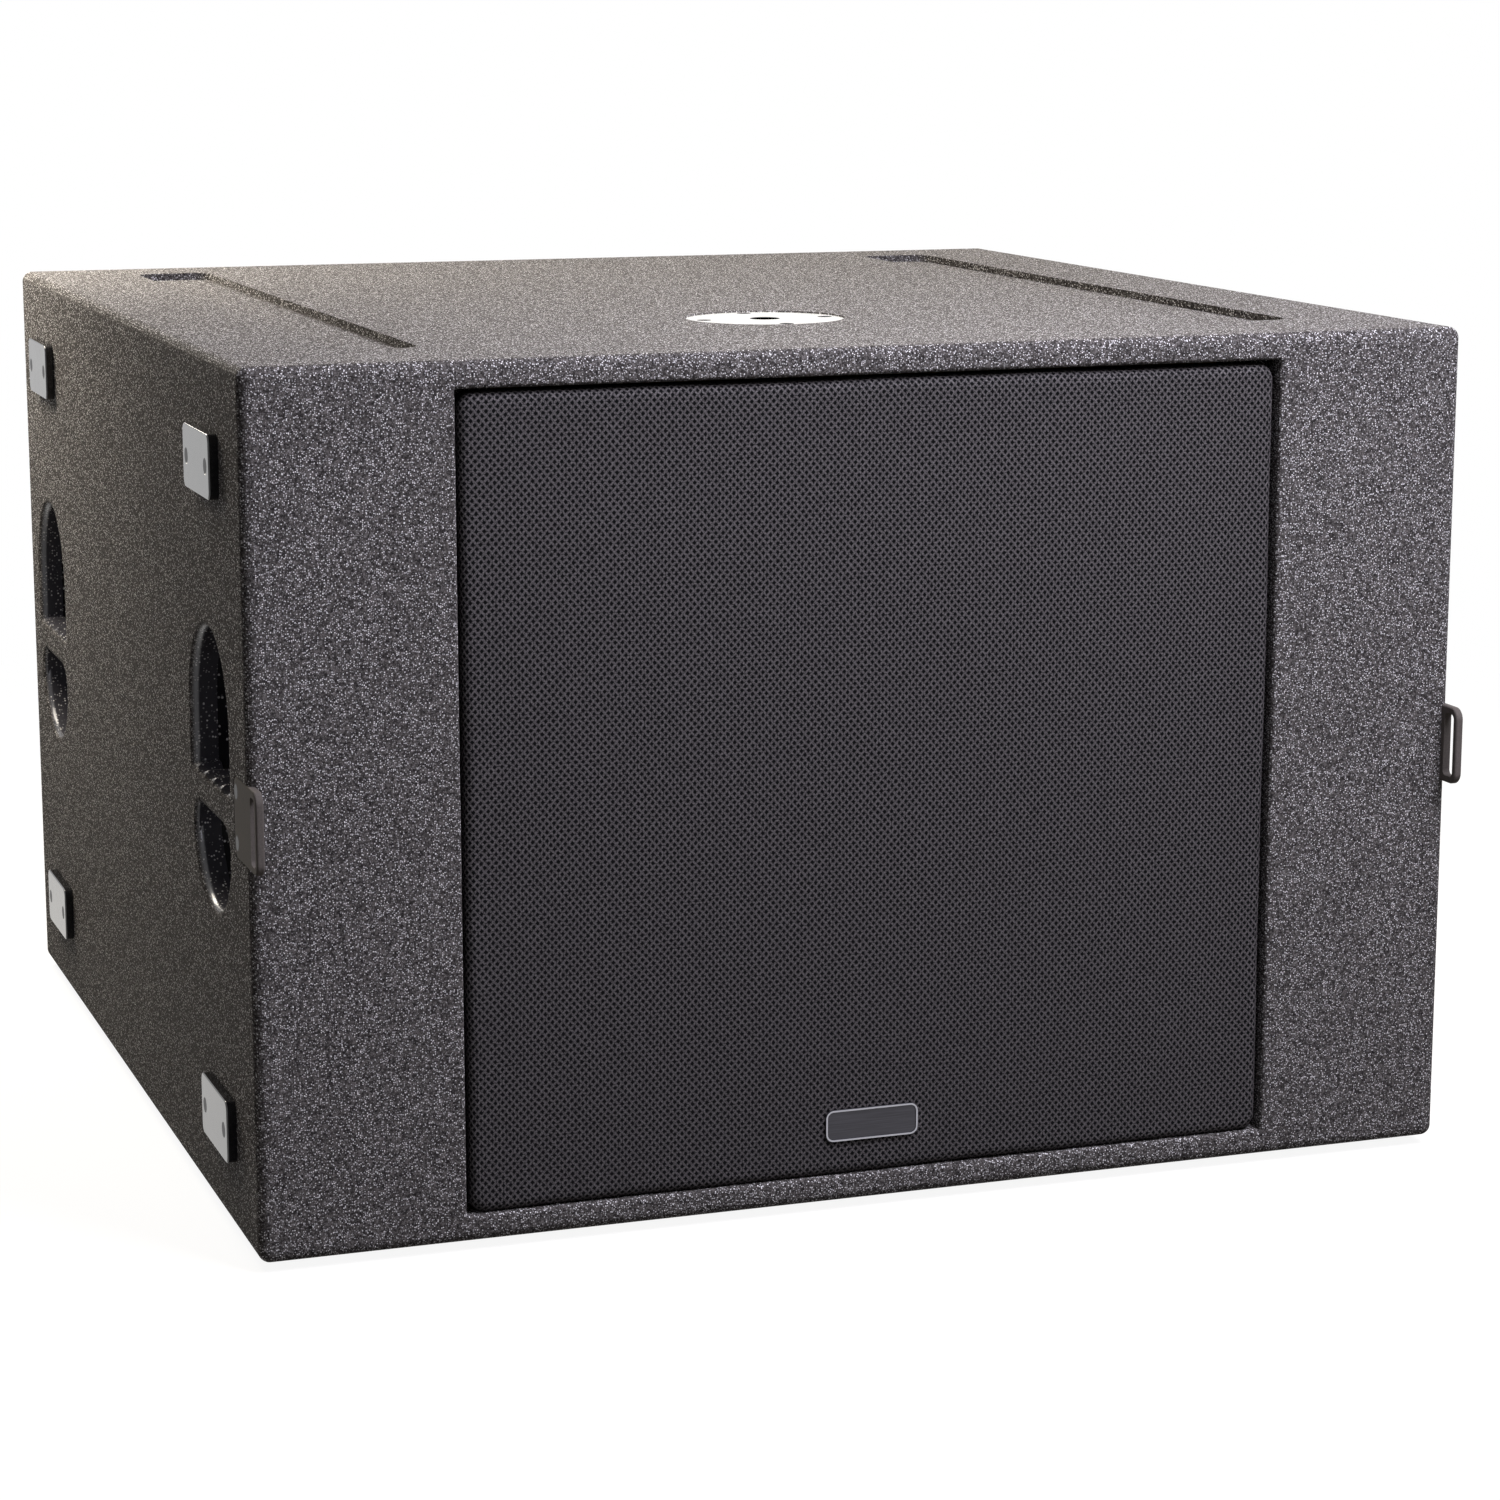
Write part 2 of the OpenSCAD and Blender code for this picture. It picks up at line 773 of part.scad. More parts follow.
module side_panel(side) {
    color(paint)
        difference() {
            on_side(side) {
                translate([inner_w / 2, 0, panel_t]) linear_extrude(inner_h) side_section();
            }
            on_side(side) {
                for (y = handle_ys) translate([cab_w / 2, y, handle_z]) hand_hole_cut();
                loop_rebate();
                at_loop_screws() clear_hole(csk_shank_r, loop_t + csk_bite);
            }
            if (side < 0)
                at_side_skids() at_skid_screws() clear_hole(csk_shank_r, skid_t + csk_bite);
        }
}

module left_side_panel() {
    side_panel(-1);
}

module right_side_panel() {
    side_panel(1);
}

module back_panel() {
    color(paint)
        difference() {
            in_cabinet()
                translate([-inner_w / 2, cab_d - panel_t, panel_t]) cube([inner_w, panel_t, inner_h]);
            at_back() {
                translate([0, 0, -conn_recess])
                    linear_extrude(conn_recess + past)
                        round_rect(conn_w + 2 * seat_gap, conn_h + 2 * seat_gap, conn_corner_r + seat_gap);
                at_sockets()
                    translate([0, 0, -panel_t]) cylinder(r = socket_r + seat_gap, h = panel_t);
                at_plate_screws() clear_hole(csk_shank_r, conn_t + conn_bite + past);
                at_socket_screws() clear_hole(pan_shank_r, socket_flange_t + conn_t + conn_bite + past);
            }
        }
}

module front_panel(side) {
    color(paint)
        on_side(side)
            difference() {
                translate([opening_w / 2, 0, panel_t])
                    cube([(inner_w - opening_w) / 2, panel_t, inner_h]);
                translate([opening_w / 2 + opening_edge_r, opening_edge_r, panel_t - past])
                    rotate(180) linear_extrude(inner_h + 2 * past) edge_cut(opening_edge_r);
            }
}

module left_front_panel() {
    front_panel(-1);
}

module right_front_panel() {
    front_panel(1);
}

// Boards inside
module cheek(side) {
    color(paint)
        on_side(side)
            translate([opening_w / 2, panel_t, panel_t])
                cube([baffle_slant_t, cheek_end - panel_t, inner_h]);
}

module left_cheek() {
    cheek(-1);
}

module right_cheek() {
    cheek(1);
}

module baffle(side) {
    color(bare_ply)
        difference() {
            on_side(side)
                translate([0, 0, panel_t])
                    linear_extrude(inner_h)
                        polygon([
                            [opening_w / 2, cheek_end],
                            [opening_w / 2 + baffle_slant_t, cheek_end],
                            [port_w / 2 + baffle_slant_t, baffle_rear],
                            [port_w / 2, baffle_rear]
                        ]);
            at_woofer(side) {
                translate([0, 0, -panel_t - past]) cylinder(d = cutout_d, h = panel_t + 2 * past);
                at_frame_screws() clear_hole(cap_shank_r, panel_t + past);
            }
        }
}

module left_baffle() {
    baffle(-1);
}

module right_baffle() {
    baffle(1);
}

module port_wall(side) {
    color(bare_ply)
        on_side(side)
            translate([port_w / 2, baffle_rear, panel_t])
                cube([baffle_slant_t, cab_d - port_rear - baffle_rear, inner_h]);
}

module left_port_wall() {
    port_wall(-1);
}

module right_port_wall() {
    port_wall(1);
}

module side_braces() {
    color(bare_ply)
        for (side = [-1, 1])
            on_side(side)
                translate([
                    port_w / 2 + baffle_slant_t,
                    cab_d - brace_y - brace_w / 2,
                    (cab_h - panel_t) / 2
                ])
                    cube([(inner_w - port_w) / 2 - baffle_slant_t, brace_w, panel_t]);
}

// Handle cups
// Hollow of a cup, its mouth on Z zero and its floor below
module cup_hollow(r, depth, floor_r) {
    module section() {
        mirror([0, 1]) rolled_section(r, depth, floor_r);
    }
    for (s = [0, 180])
        rotate(s) translate([0, handle_straight / 2, 0]) rotate_extrude(angle = 180) section();
    for (m = [0, 1])
        mirror([m, 0, 0])
            translate([0, handle_straight / 2, 0])
                rotate([90, 0, 0]) linear_extrude(handle_straight) section();
}

module handle_cup(side, y) {
    color(paint)
        on_side(side)
            translate([inner_w / 2, y, handle_z])
                rotate([90, 0, 90])
                    difference() {
                        union() {
                            cup_hollow(handle_r + cup_wall, cup_depth + cup_wall, cup_floor_r + cup_wall);
                            translate([0, 0, -cup_wall])
                                linear_extrude(cup_wall) hand_hole_outline(cup_wall + cup_flange);
                        }
                        cup_hollow(handle_r, cup_depth, cup_floor_r);
                    }
}

module left_front_handle_cup() {
    handle_cup(-1, handle_ys[0]);
}

module left_rear_handle_cup() {
    handle_cup(-1, handle_ys[1]);
}

module right_front_handle_cup() {
    handle_cup(1, handle_ys[0]);
}

module right_rear_handle_cup() {
    handle_cup(1, handle_ys[1]);
}

// Outside fittings
module skid() {
    difference() {
        edged_plate(skid_l, skid_w, skid_t, skid_corner_r, skid_edge_r);
        at_skid_screws() csk_hole(skid_t + past);
    }
}

module side_skids() {
    color(black_plastic) at_side_skids() skid();
}

module bottom_skids() {
    color(black_plastic) at_bottom_skids() skid();
}

module skid_screws() {
    color(black_steel) {
        at_side_skids() at_skid_screws() csk_screw(skid_t + csk_bite);
        at_bottom_skids()
            at_skid_screws()
                translate([0, 0, -screw_gap]) csk_screw(skid_t + csk_bite - screw_gap);
    }
}

module pole_flange() {
    color(zinc)
        at_flange()
            difference() {
                union() {
                    translate([0, 0, -flange_t]) cylinder(d = flange_d, h = flange_t);
                    translate([0, 0, -flange_t - flange_boss_l])
                        cylinder(d = flange_boss_d, h = flange_boss_l + past);
                }
                translate([0, 0, -flange_t - flange_boss_l - past])
                    cylinder(r = thread_r, h = flange_t + flange_boss_l + 2 * past);
                at_flange_screws() csk_hole(flange_t + past);
            }
}

module pole_flange_screws() {
    color(black_steel) at_flange() at_flange_screws() csk_screw(flange_t + csk_bite);
}

// Loop lying flat: X back from the front face, Y up, Z through its thickness
module loop_plate() {
    difference() {
        translate([(loop_plate_l - loop_reach) / 2, 0, 0])
            for (m = [0, 1])
                mirror([0, 0, m])
                    edged_plate(
                        loop_plate_l + loop_reach,
                        loop_h,
                        loop_t / 2,
                        loop_corner_r,
                        loop_edge_r
                    );
        translate([loop_bar + loop_slot_w / 2 - loop_reach, 0, -loop_t])
            linear_extrude(2 * loop_t) round_rect(loop_slot_w, loop_slot_h, loop_slot_r);
    }
}

module keeper_loop(side) {
    color(loop_grey)
        on_side(side)
            difference() {
                translate([(cab_w - loop_t) / 2, 0, loop_z]) rotate([90, 0, 90]) loop_plate();
                at_loop_screws() csk_hole(loop_t + past);
            }
}

module left_keeper_loop() {
    keeper_loop(-1);
}

module right_keeper_loop() {
    keeper_loop(1);
}

module keeper_loop_screws() {
    color(black_steel)
        for (side = [-1, 1]) on_side(side) at_loop_screws() csk_screw(loop_t + csk_bite);
}

// Grille
// Front coordinates: X to the right, Y up, Z out of the front, zero at the tray's lips
module at_grille() {
    in_cabinet()
        translate([0, tray_back, panel_t + grille_foot_gap + grille_h / 2])
            rotate([90, 0, 0])
                children();
}

module grille_shell(inset, front) {
    edged_plate(
        grille_w - 2 * inset,
        grille_h - 2 * inset,
        front,
        grille_corner_r - inset,
        grille_roll_r - inset
    );
}

module grille() {
    tray_h = tray_back - tray_front;
    inside = cloth_t + grille_sheet;
    field_w = grille_w - 2 * inside - 2 * grille_corner_r;
    field_h = grille_h - 2 * inside - 2 * grille_corner_r;
    row_pitch = grille_pitch * sqrt(3) / 2;
    rows = floor((field_h - grille_hole_d) / row_pitch / 2);
    color(black_steel)
        difference() {
            at_grille()
                difference() {
                    grille_shell(cloth_t, tray_h);
                    translate([0, 0, grille_sheet]) grille_shell(inside, tray_h - 2 * grille_sheet);
                    translate([0, 0, -past])
                        linear_extrude(grille_sheet + 2 * past)
                            round_rect(
                                grille_w - 2 * cloth_t - 2 * grille_lip,
                                grille_h - 2 * cloth_t - 2 * grille_lip,
                                grille_corner_r
                            );
                    translate([0, 0, tray_h - grille_sheet - past])
                        linear_extrude(grille_sheet + 2 * past)
                            for (j = [-rows : rows]) {
                                stagger = abs(j) % 2 == 0 ? 0 : 0.5;
                                cols = floor((field_w - grille_hole_d) / grille_pitch / 2 - stagger);
                                for (i = [-cols - 2 * stagger : cols])
                                    translate([(i + stagger) * grille_pitch, j * row_pitch])
                                        circle(d = grille_hole_d);
                            }
                }
            at_pegs() translate([0, 0, -past]) cylinder(r = peg_r + screw_gap, h = grille_sheet + 2 * past);
        }
}

module grille_cloth() {
    color(cloth_black)
        at_grille()
            difference() {
                grille_shell(0, grille_depth);
                translate([0, 0, -past]) grille_shell(cloth_t, grille_depth - cloth_t + past);
            }
}

module grille_battens() {
    color(bare_ply)
        difference() {
            for (side = [-1, 1])
                on_side(side)
                    translate([opening_w / 2 - batten_w, tray_back, panel_t])
                        cube([batten_w, batten_d, inner_h]);
            at_pegs() clear_hole(peg_r, peg_l + past);
        }
}

// Press-in pegs: a head inside the tray, a shank through the lip into the batten
module grille_pegs() {
    color(black_plastic)
        at_pegs() {
            translate([0, 0, grille_sheet]) cylinder(r = peg_head_r, h = peg_head_h);
            translate([0, 0, -peg_l]) cylinder(r = peg_r, h = peg_l + grille_sheet);
        }
}

module badge_plate() {
    color(black_plastic)
        in_cabinet()
            translate([badge_x, grille_recess, badge_z])
                rotate([90, 0, 0])
                    difference() {
                        linear_extrude(badge_t) round_rect(badge_w, badge_h, badge_corner_r);
                        translate([0, 0, badge_t - badge_field])
                            linear_extrude(badge_t)
                                round_rect(
                                    badge_w - 2 * badge_rim,
                                    badge_h - 2 * badge_rim,
                                    badge_corner_r - badge_rim
                                );
                    }
}

// Rear connectors
module connector_plate() {
    color(black_steel)
        at_back()
            difference() {
                translate([0, 0, -conn_recess])
                    linear_extrude(conn_t) round_rect(conn_w, conn_h, conn_corner_r);
                at_sockets()
                    translate([0, 0, -conn_t - past])
                        cylinder(r = socket_r + seat_gap, h = conn_t + 2 * past);
                at_plate_screws() clear_hole(csk_shank_r, conn_t + past);
                at_socket_screws() clear_hole(pan_shank_r, socket_flange_t + conn_t + past);
            }
}

// Four-pole twist-lock socket: square flange and a round bore with keyways
module socket() {
    bore_z = socket_floor_t - socket_l;
    difference() {
        union() {
            linear_extrude(socket_flange_t) round_rect(socket_side, socket_side, socket_corner_r);
            translate([0, 0, -socket_l]) cylinder(r = socket_r, h = socket_l + past);
        }
        translate([0, 0, bore_z]) cylinder(r = socket_bore_r, h = socket_l + socket_flange_t);
        for (a = [45, 225])
            rotate(a)
                translate([0, -keyway_w / 2, bore_z + keyway_up])
                    cube([socket_bore_r + keyway_d, keyway_w, socket_l + socket_flange_t]);
    }
}

module speaker_sockets() {
    color(black_plastic)
        at_back()
            difference() {
                at_sockets() socket();
                at_socket_screws() clear_hole(pan_shank_r, socket_flange_t + past);
            }
}

// Contact core that stands on the floor of a socket
module socket_core() {
    l = socket_l - socket_floor_t - core_drop;
    translate([0, 0, socket_floor_t - socket_l])
        difference() {
            cylinder(r = socket_core_r, h = l);
            for (a = [0 : 90 : 270])
                rotate(a)
                    translate([socket_core_r - contact_d, -contact_w / 2, contact_up])
                        cube([2 * contact_d, contact_w, l]);
        }
}

module speaker_socket_cores() {
    color(black_plastic) at_back() at_sockets() socket_core();
}

module connector_screws() {
    color(black_steel)
        at_back() {
            at_plate_screws() headed_screw(csk_head_r, csk_head_h, csk_shank_r, conn_t + conn_bite);
            at_socket_screws()
                headed_screw(pan_head_r, pan_head_h, pan_shank_r, socket_flange_t + conn_t + conn_bite);
        }
}

// Woofers
module woofer_frame(side) {
    wall_top = -throat_l;
    in_r = throat_r - basket_wall;
    window_a = 360 / spoke_count - spoke_angle;
    color(cast_black)
        at_woofer(side)
            difference() {
                rotate_extrude()
                    polygon([
                        [frame_r, flange_z0], [frame_r, flange_z1], [surround_out_r + seat_gap, flange_z1],
                        [surround_out_r + seat_gap, ledge_z], [in_r, ledge_z], [in_r, wall_top],
                        [neck_in_r, neck_top], [neck_in_r, seat_top], [seat_r, seat_top],
                        [seat_r, -basket_h], [neck_r, -basket_h], [neck_r, neck_top],
                        [throat_r, wall_top], [throat_r, flange_z0]
                    ]);
                for (i = [0 : spoke_count - 1])
                    rotate(i * 360 / spoke_count)
                        translate([0, 0, neck_top + window_edge])
                            rotate(-window_a / 2)
                                rotate_extrude(angle = window_a)
                                    translate([neck_r - 2 * basket_wall, 0])
                                        square([throat_r, wall_top - neck_top - 2 * window_edge]);
                at_frame_screws()
                    translate([0, 0, flange_z0 - past])
                        cylinder(r = cap_shank_r + screw_gap, h = frame_flange_t + 2 * past);
            }
}

module woofer_gasket(side) {
    color(cork)
        at_woofer(side)
            difference() {
                ring(frame_r - gasket_in, cutout_d / 2, 0, gasket_t);
                at_frame_screws()
                    translate([0, 0, -past]) cylinder(r = cap_shank_r + screw_gap, h = gasket_t + 2 * past);
            }
}

module woofer_screws(side) {
    color(black_steel)
        at_woofer(side)
            at_frame_screws()
                translate([0, 0, flange_z1])
                    headed_screw(cap_head_r, cap_head_h, cap_shank_r, flange_z1 + panel_t - screw_cover);
}

module front_plate(side) {
    color(zinc) at_woofer(side) ring(plate_r, gap_out_r, magnet_z, plate_z);
}

module magnet(side) {
    color(ferrite) at_woofer(side) ring(magnet_r, gap_out_r + magnet_in, back_z, magnet_z);
}

// Back plate with the pole piece and its vent
module back_plate(side) {
    color(zinc)
        at_woofer(side)
            rotate_extrude()
                polygon([
                    [vent_r, back_z - back_plate_t], [plate_r, back_z - back_plate_t], [plate_r, back_z],
                    [pole_r, back_z], [pole_r, plate_z], [vent_r, plate_z]
                ]);
}

// Corrugated disc between the neck of the frame and the voice coil
module spider(side) {
    r0 = former_out_r + seat_gap;
    r1 = neck_in_r - seat_gap;
    wave_l = r1 - spider_rim - r0;
    steps = 8 * spider_waves;
    wave = [
        for (i = [0 : steps])
            [r0 + wave_l * i / steps, spider_wave_h / 2 * sin(360 * spider_waves * i / steps)]
    ];
    low = [for (p = wave) [p[0], p[1]]];
    high = [for (i = [steps : -1 : 0]) [wave[i][0], wave[i][1] + spider_t]];
    color(amber_cloth)
        at_woofer(side)
            translate([0, 0, seat_top])
                rotate_extrude() polygon(concat(low, [[r1, 0], [r1, spider_t]], high));
}

// Half roll between the cone and the frame, with a flat rim on each side
module surround(side) {
    mid_r = cone_r + roll_r;
    color(rubber)
        at_woofer(side)
            translate([0, 0, ledge_z])
                rotate_extrude() {
                    translate([mid_r, 0])
                        intersection() {
                            difference() {
                                circle(roll_r + surround_t / 2);
                                circle(roll_r - surround_t / 2);
                            }
                            translate([-2 * roll_r, 0]) square([4 * roll_r, 2 * roll_r]);
                        }
                    translate([cone_r - cone_glue, 0]) square([cone_glue + surround_t / 2, surround_t]);
                    translate([mid_r + roll_r - surround_t / 2, 0])
                        square([surround_out_r - mid_r - roll_r + surround_t / 2, surround_t]);
                }
}

// Spring terminals on the neck of the frame
module terminals(side) {
    block = terminal_block;
    color(black_plastic)
        at_woofer(side)
            difference() {
                translate([-block[0] / 2, terminal_hug - neck_r - block[1], terminal_up - basket_h])
                    cube(block);
                translate([0, 0, -basket_h]) cylinder(r = neck_r + seat_gap / 2, h = block[2] + 2 * past);
                for (s = [-1, 1])
                    translate([s * terminal_pitch / 2, -neck_r - terminal_hole_at, -basket_h])
                        cylinder(r = terminal_hole_r, h = block[2] + 2 * past);
            }
}

module voice_coil(side) {
    color(copper)
        at_woofer(side) {
            ring(former_out_r, former_in_r, former_bottom, former_top);
            ring(
                former_out_r + winding_t,
                former_in_r,
                winding_mid - winding_h / 2,
                winding_mid + winding_h / 2
            );
        }
}

module cone(side) {
    neck = former_out_r + glue_gap;
    color(cone_paper)
        at_woofer(side)
            rotate_extrude()
                polygon([
                    [neck, former_top - cone_neck_l],
                    [neck + cone_t, former_top - cone_neck_l],
                    [neck + cone_t, former_top - cone_t],
                    [cone_r - cone_glue, cone_edge_z - cone_t],
                    [cone_r, cone_edge_z - cone_t],
                    [cone_r, cone_edge_z],
                    [cone_r - cone_glue - cone_t / 2, cone_edge_z],
                    [neck, former_top]
                ]);
}

// Domed cap over the voice coil, its foot on the cone
module dust_cap(side) {
    slope = (cone_edge_z - former_top) / (cone_r - cone_glue - cone_t / 2 - former_out_r);
    foot_z = former_top + (dust_cap_r - former_out_r) * slope + cap_glue_gap;
    dome_r = (dust_cap_r * dust_cap_r + dust_cap_rise * dust_cap_rise) / (2 * dust_cap_rise);
    color(cone_paper)
        at_woofer(side)
            translate([0, 0, foot_z])
                rotate_extrude()
                    intersection() {
                        translate([0, dust_cap_rise - dome_r])
                            difference() {
                                circle(dome_r);
                                circle(dome_r - cone_t);
                            }
                        square([dust_cap_r, dust_cap_rise + past]);
                    }
}

module left_woofer_frame() { woofer_frame(-1); }
module left_woofer_gasket() { woofer_gasket(-1); }
module left_woofer_screws() { woofer_screws(-1); }
module left_front_plate() { front_plate(-1); }
module left_magnet() { magnet(-1); }
module left_back_plate() { back_plate(-1); }
module left_spider() { spider(-1); }
module left_surround() { surround(-1); }
module left_terminals() { terminals(-1); }
module left_voice_coil() { voice_coil(-1); }
module left_cone() { cone(-1); }
module left_dust_cap() { dust_cap(-1); }

module right_woofer_frame() { woofer_frame(1); }
module right_woofer_gasket() { woofer_gasket(1); }
module right_woofer_screws() { woofer_screws(1); }
module right_front_plate() { front_plate(1); }
module right_magnet() { magnet(1); }
module right_back_plate() { back_plate(1); }
module right_spider() { spider(1); }
module right_surround() { surround(1); }
module right_terminals() { terminals(1); }
module right_voice_coil() { voice_coil(1); }
module right_cone() { cone(1); }
module right_dust_cap() { dust_cap(1); }

top_panel();
bottom_panel();
left_side_panel();
right_side_panel();
back_panel();
left_front_panel();
right_front_panel();
left_cheek();
right_cheek();
left_baffle();
right_baffle();
left_port_wall();
right_port_wall();
side_braces();
left_front_handle_cup();
left_rear_handle_cup();
right_front_handle_cup();
right_rear_handle_cup();
side_skids();
bottom_skids();
skid_screws();
pole_flange();
pole_flange_screws();
left_keeper_loop();
right_keeper_loop();
keeper_loop_screws();
grille_battens();
grille();
grille_cloth();
grille_pegs();
badge_plate();
connector_plate();
speaker_sockets();
speaker_socket_cores();
connector_screws();
left_woofer_frame();
left_woofer_gasket();
left_woofer_screws();
left_front_plate();
left_magnet();
left_back_plate();
left_spider();
left_surround();
left_terminals();
left_voice_coil();
left_cone();
left_dust_cap();
right_woofer_frame();
right_woofer_gasket();
right_woofer_screws();
right_front_plate();
right_magnet();
right_back_plate();
right_spider();
right_surround();
right_terminals();
right_voice_coil();
right_cone();
right_dust_cap();
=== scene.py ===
import json
import math

import bpy
from bpy.props import FloatProperty, FloatVectorProperty, IntProperty, PointerProperty
from mathutils import Matrix, Vector


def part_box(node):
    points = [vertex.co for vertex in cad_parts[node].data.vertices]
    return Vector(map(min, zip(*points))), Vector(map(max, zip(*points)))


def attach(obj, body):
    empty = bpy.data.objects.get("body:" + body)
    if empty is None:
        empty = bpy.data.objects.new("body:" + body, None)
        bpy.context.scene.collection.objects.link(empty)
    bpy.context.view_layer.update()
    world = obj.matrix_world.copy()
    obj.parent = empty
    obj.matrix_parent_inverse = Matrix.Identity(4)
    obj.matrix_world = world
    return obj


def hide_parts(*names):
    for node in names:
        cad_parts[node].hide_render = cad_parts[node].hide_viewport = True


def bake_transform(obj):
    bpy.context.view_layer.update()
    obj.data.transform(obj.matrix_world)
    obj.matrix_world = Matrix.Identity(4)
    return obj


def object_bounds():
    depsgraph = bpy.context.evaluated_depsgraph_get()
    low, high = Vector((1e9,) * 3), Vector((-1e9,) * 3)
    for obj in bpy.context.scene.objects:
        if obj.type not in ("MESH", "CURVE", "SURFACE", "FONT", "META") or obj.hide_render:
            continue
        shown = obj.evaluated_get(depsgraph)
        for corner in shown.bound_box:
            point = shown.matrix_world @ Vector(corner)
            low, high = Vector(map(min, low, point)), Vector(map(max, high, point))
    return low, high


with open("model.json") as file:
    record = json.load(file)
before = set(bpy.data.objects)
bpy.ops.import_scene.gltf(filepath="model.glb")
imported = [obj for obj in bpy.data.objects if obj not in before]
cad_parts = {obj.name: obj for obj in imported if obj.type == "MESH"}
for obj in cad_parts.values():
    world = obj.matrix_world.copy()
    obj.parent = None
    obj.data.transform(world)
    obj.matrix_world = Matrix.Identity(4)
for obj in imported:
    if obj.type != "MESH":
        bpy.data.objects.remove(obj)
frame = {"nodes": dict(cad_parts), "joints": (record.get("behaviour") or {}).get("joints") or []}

bl_info = {
    "name": "Subwoofer Cabinet",
    "version": (1, 0, 0),
    "blender": (4, 5, 0),
    "location": "View3D > Sidebar > Cabinet",
    "description":
        "Paint, grille cloth, fittings, woofers and a plain studio for a subwoofer cabinet",
    "category": "Object",
}

CAD_LOW, CAD_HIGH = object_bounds()
MM = 0.001
TINY = 0.001 * MM  # a length too short to matter
BLACK, WHITE = (0.0, 0.0, 0.0, 1.0), (1.0, 1.0, 1.0, 1.0)
UNDER, OVER, MIXED = 6, 7, 2  # a Mix node's two colour inputs and its colour output
SIDES = ("left", "right")

PAINTED_BOARDS = [
    "top_panel", "bottom_panel", "left_side_panel", "right_side_panel", "back_panel",
    "left_front_panel", "right_front_panel", "left_cheek", "right_cheek", "grille_battens",
]
BARE_BOARDS = ["left_baffle", "right_baffle", "left_port_wall", "right_port_wall", "side_braces"]
HANDLE_CUPS = [f"{side}_{end}_handle_cup" for side in SIDES for end in ("front", "rear")]


def linear(hex_colour):
    """sRGB hex to the linear colour that shader sockets take."""
    channels = [int(hex_colour[i:i + 2], 16) / 255 for i in (1, 3, 5)]
    return tuple(
        c / 12.92 if c <= 0.04045 else ((c + 0.055) / 1.055) ** 2.4 for c in channels
    ) + (1.0,)


def colour(name, description, default):
    """A colour property whose default is given as sRGB hex."""
    return FloatVectorProperty(
        name=name, description=description, subtype="COLOR", size=4, min=0.0, max=1.0,
        default=linear(default),
    )


def length(name, description, default_mm):
    """A length property whose default is given in millimetres."""
    return FloatProperty(
        name=name, description=description, subtype="DISTANCE", unit="LENGTH", min=0.0,
        default=default_mm * MM,
    )


def share(name, description, default):
    """A property from zero to one."""
    return FloatProperty(
        name=name, description=description, subtype="FACTOR", min=0.0, max=1.0, default=default,
    )


def power(name, description, default):
    """A lamp's power in watts."""
    return FloatProperty(
        name=name, description=description, subtype="POWER", unit="POWER", min=0.0, default=default,
    )


def place(name, description, default):
    """A place in metres."""
    return FloatVectorProperty(
        name=name, description=description, subtype="TRANSLATION", unit="LENGTH", size=3,
        default=default,
    )


def turn(name, description, degrees):
    """An angle whose default is given in degrees."""
    return FloatProperty(
        name=name, description=description, subtype="ANGLE", unit="ROTATION",
        default=math.radians(degrees),
    )


def add_node(tree, kind, settings=None, inputs=None, stops=()):
    """Adds a shader node. An input takes a value, or an output socket to be linked from.
    Stops are the (position, linear colour) pairs of a colour ramp."""
    node = tree.nodes.new(kind)
    for key, value in (settings or {}).items():
        setattr(node, key, value)
    for key, value in (inputs or {}).items():
        if isinstance(value, bpy.types.NodeSocket):
            tree.links.new(value, node.inputs[key])
        else:
            node.inputs[key].default_value = value
    if stops:
        elements = node.color_ramp.elements
        while len(elements) < len(stops):
            elements.new(1.0)
        for element, (position, rgba) in zip(elements, stops):
            element.position = position
            element.color = rgba
    return node


def new_material(name, **sockets):
    """A material with one Principled shader. Returns it with its tree, shader and Object spot."""
    material = bpy.data.materials.new(name)
    material.use_nodes = True
    tree = material.node_tree
    shader = tree.nodes["Principled BSDF"]
    for key, value in sockets.items():
        shader.inputs[key.replace("_", " ")].default_value = value
    spot = add_node(tree, "ShaderNodeTexCoord").outputs["Object"]
    return material, tree, shader, spot


def shade(rgba, factor):
    """A linear colour made lighter or darker."""
    return tuple(min(1.0, c * factor) for c in rgba[:3]) + (1.0,)


def dress(names, material):
    """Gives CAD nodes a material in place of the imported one."""
    for name in names:
        mesh = frame["nodes"][name].data
        mesh.materials.clear()
        mesh.materials.append(material)


def each_side(*names):
    """Node names on the left and on the right."""
    return [f"{side}_{name}" for side in SIDES for name in names]


class PaintSettings(bpy.types.PropertyGroup):
    """Textured paint on the boards and in the handle cups."""

    # Pit and fleck are painted shade and painted light: darker down between the grains, lighter on
    # their tops.
    pit_shade: colour("Pit", "Colour down between the grains", "#262423")
    base: colour("Paint", "Colour of the paint", "#464341")
    fleck_light: colour("Fleck", "Colour of the grains that catch the light", "#6e6a67")
    # Glint is a painted highlight: white dots where single grains would catch a lamp.
    glint_highlight: colour("Glint", "Colour of the few brightest grains", "#fffdfb")
    # The wall paint is lighter than the cup paint: painted light on the walls of the hand holes.
    wall: colour("Wall paint", "Colour of the paint on the walls of the hand holes", "#3c3b40")
    cup: colour("Cup paint", "Colour of the smooth paint in the cups", "#141317")
    clump: length("Clump", "Width of a clump of grains", 1.4)
    grain: length("Grain", "Spacing of the grains that glint", 1.0)
    wall_start: length("Wall start", "Depth in a hand hole where the paint starts to smooth", 0.5)
    wall_full: length("Wall full", "Depth in a hand hole where the paint is smooth", 3.0)
    board_edge: length("Board edge", "Width along a side panel's edges that keeps its grain", 10.0)


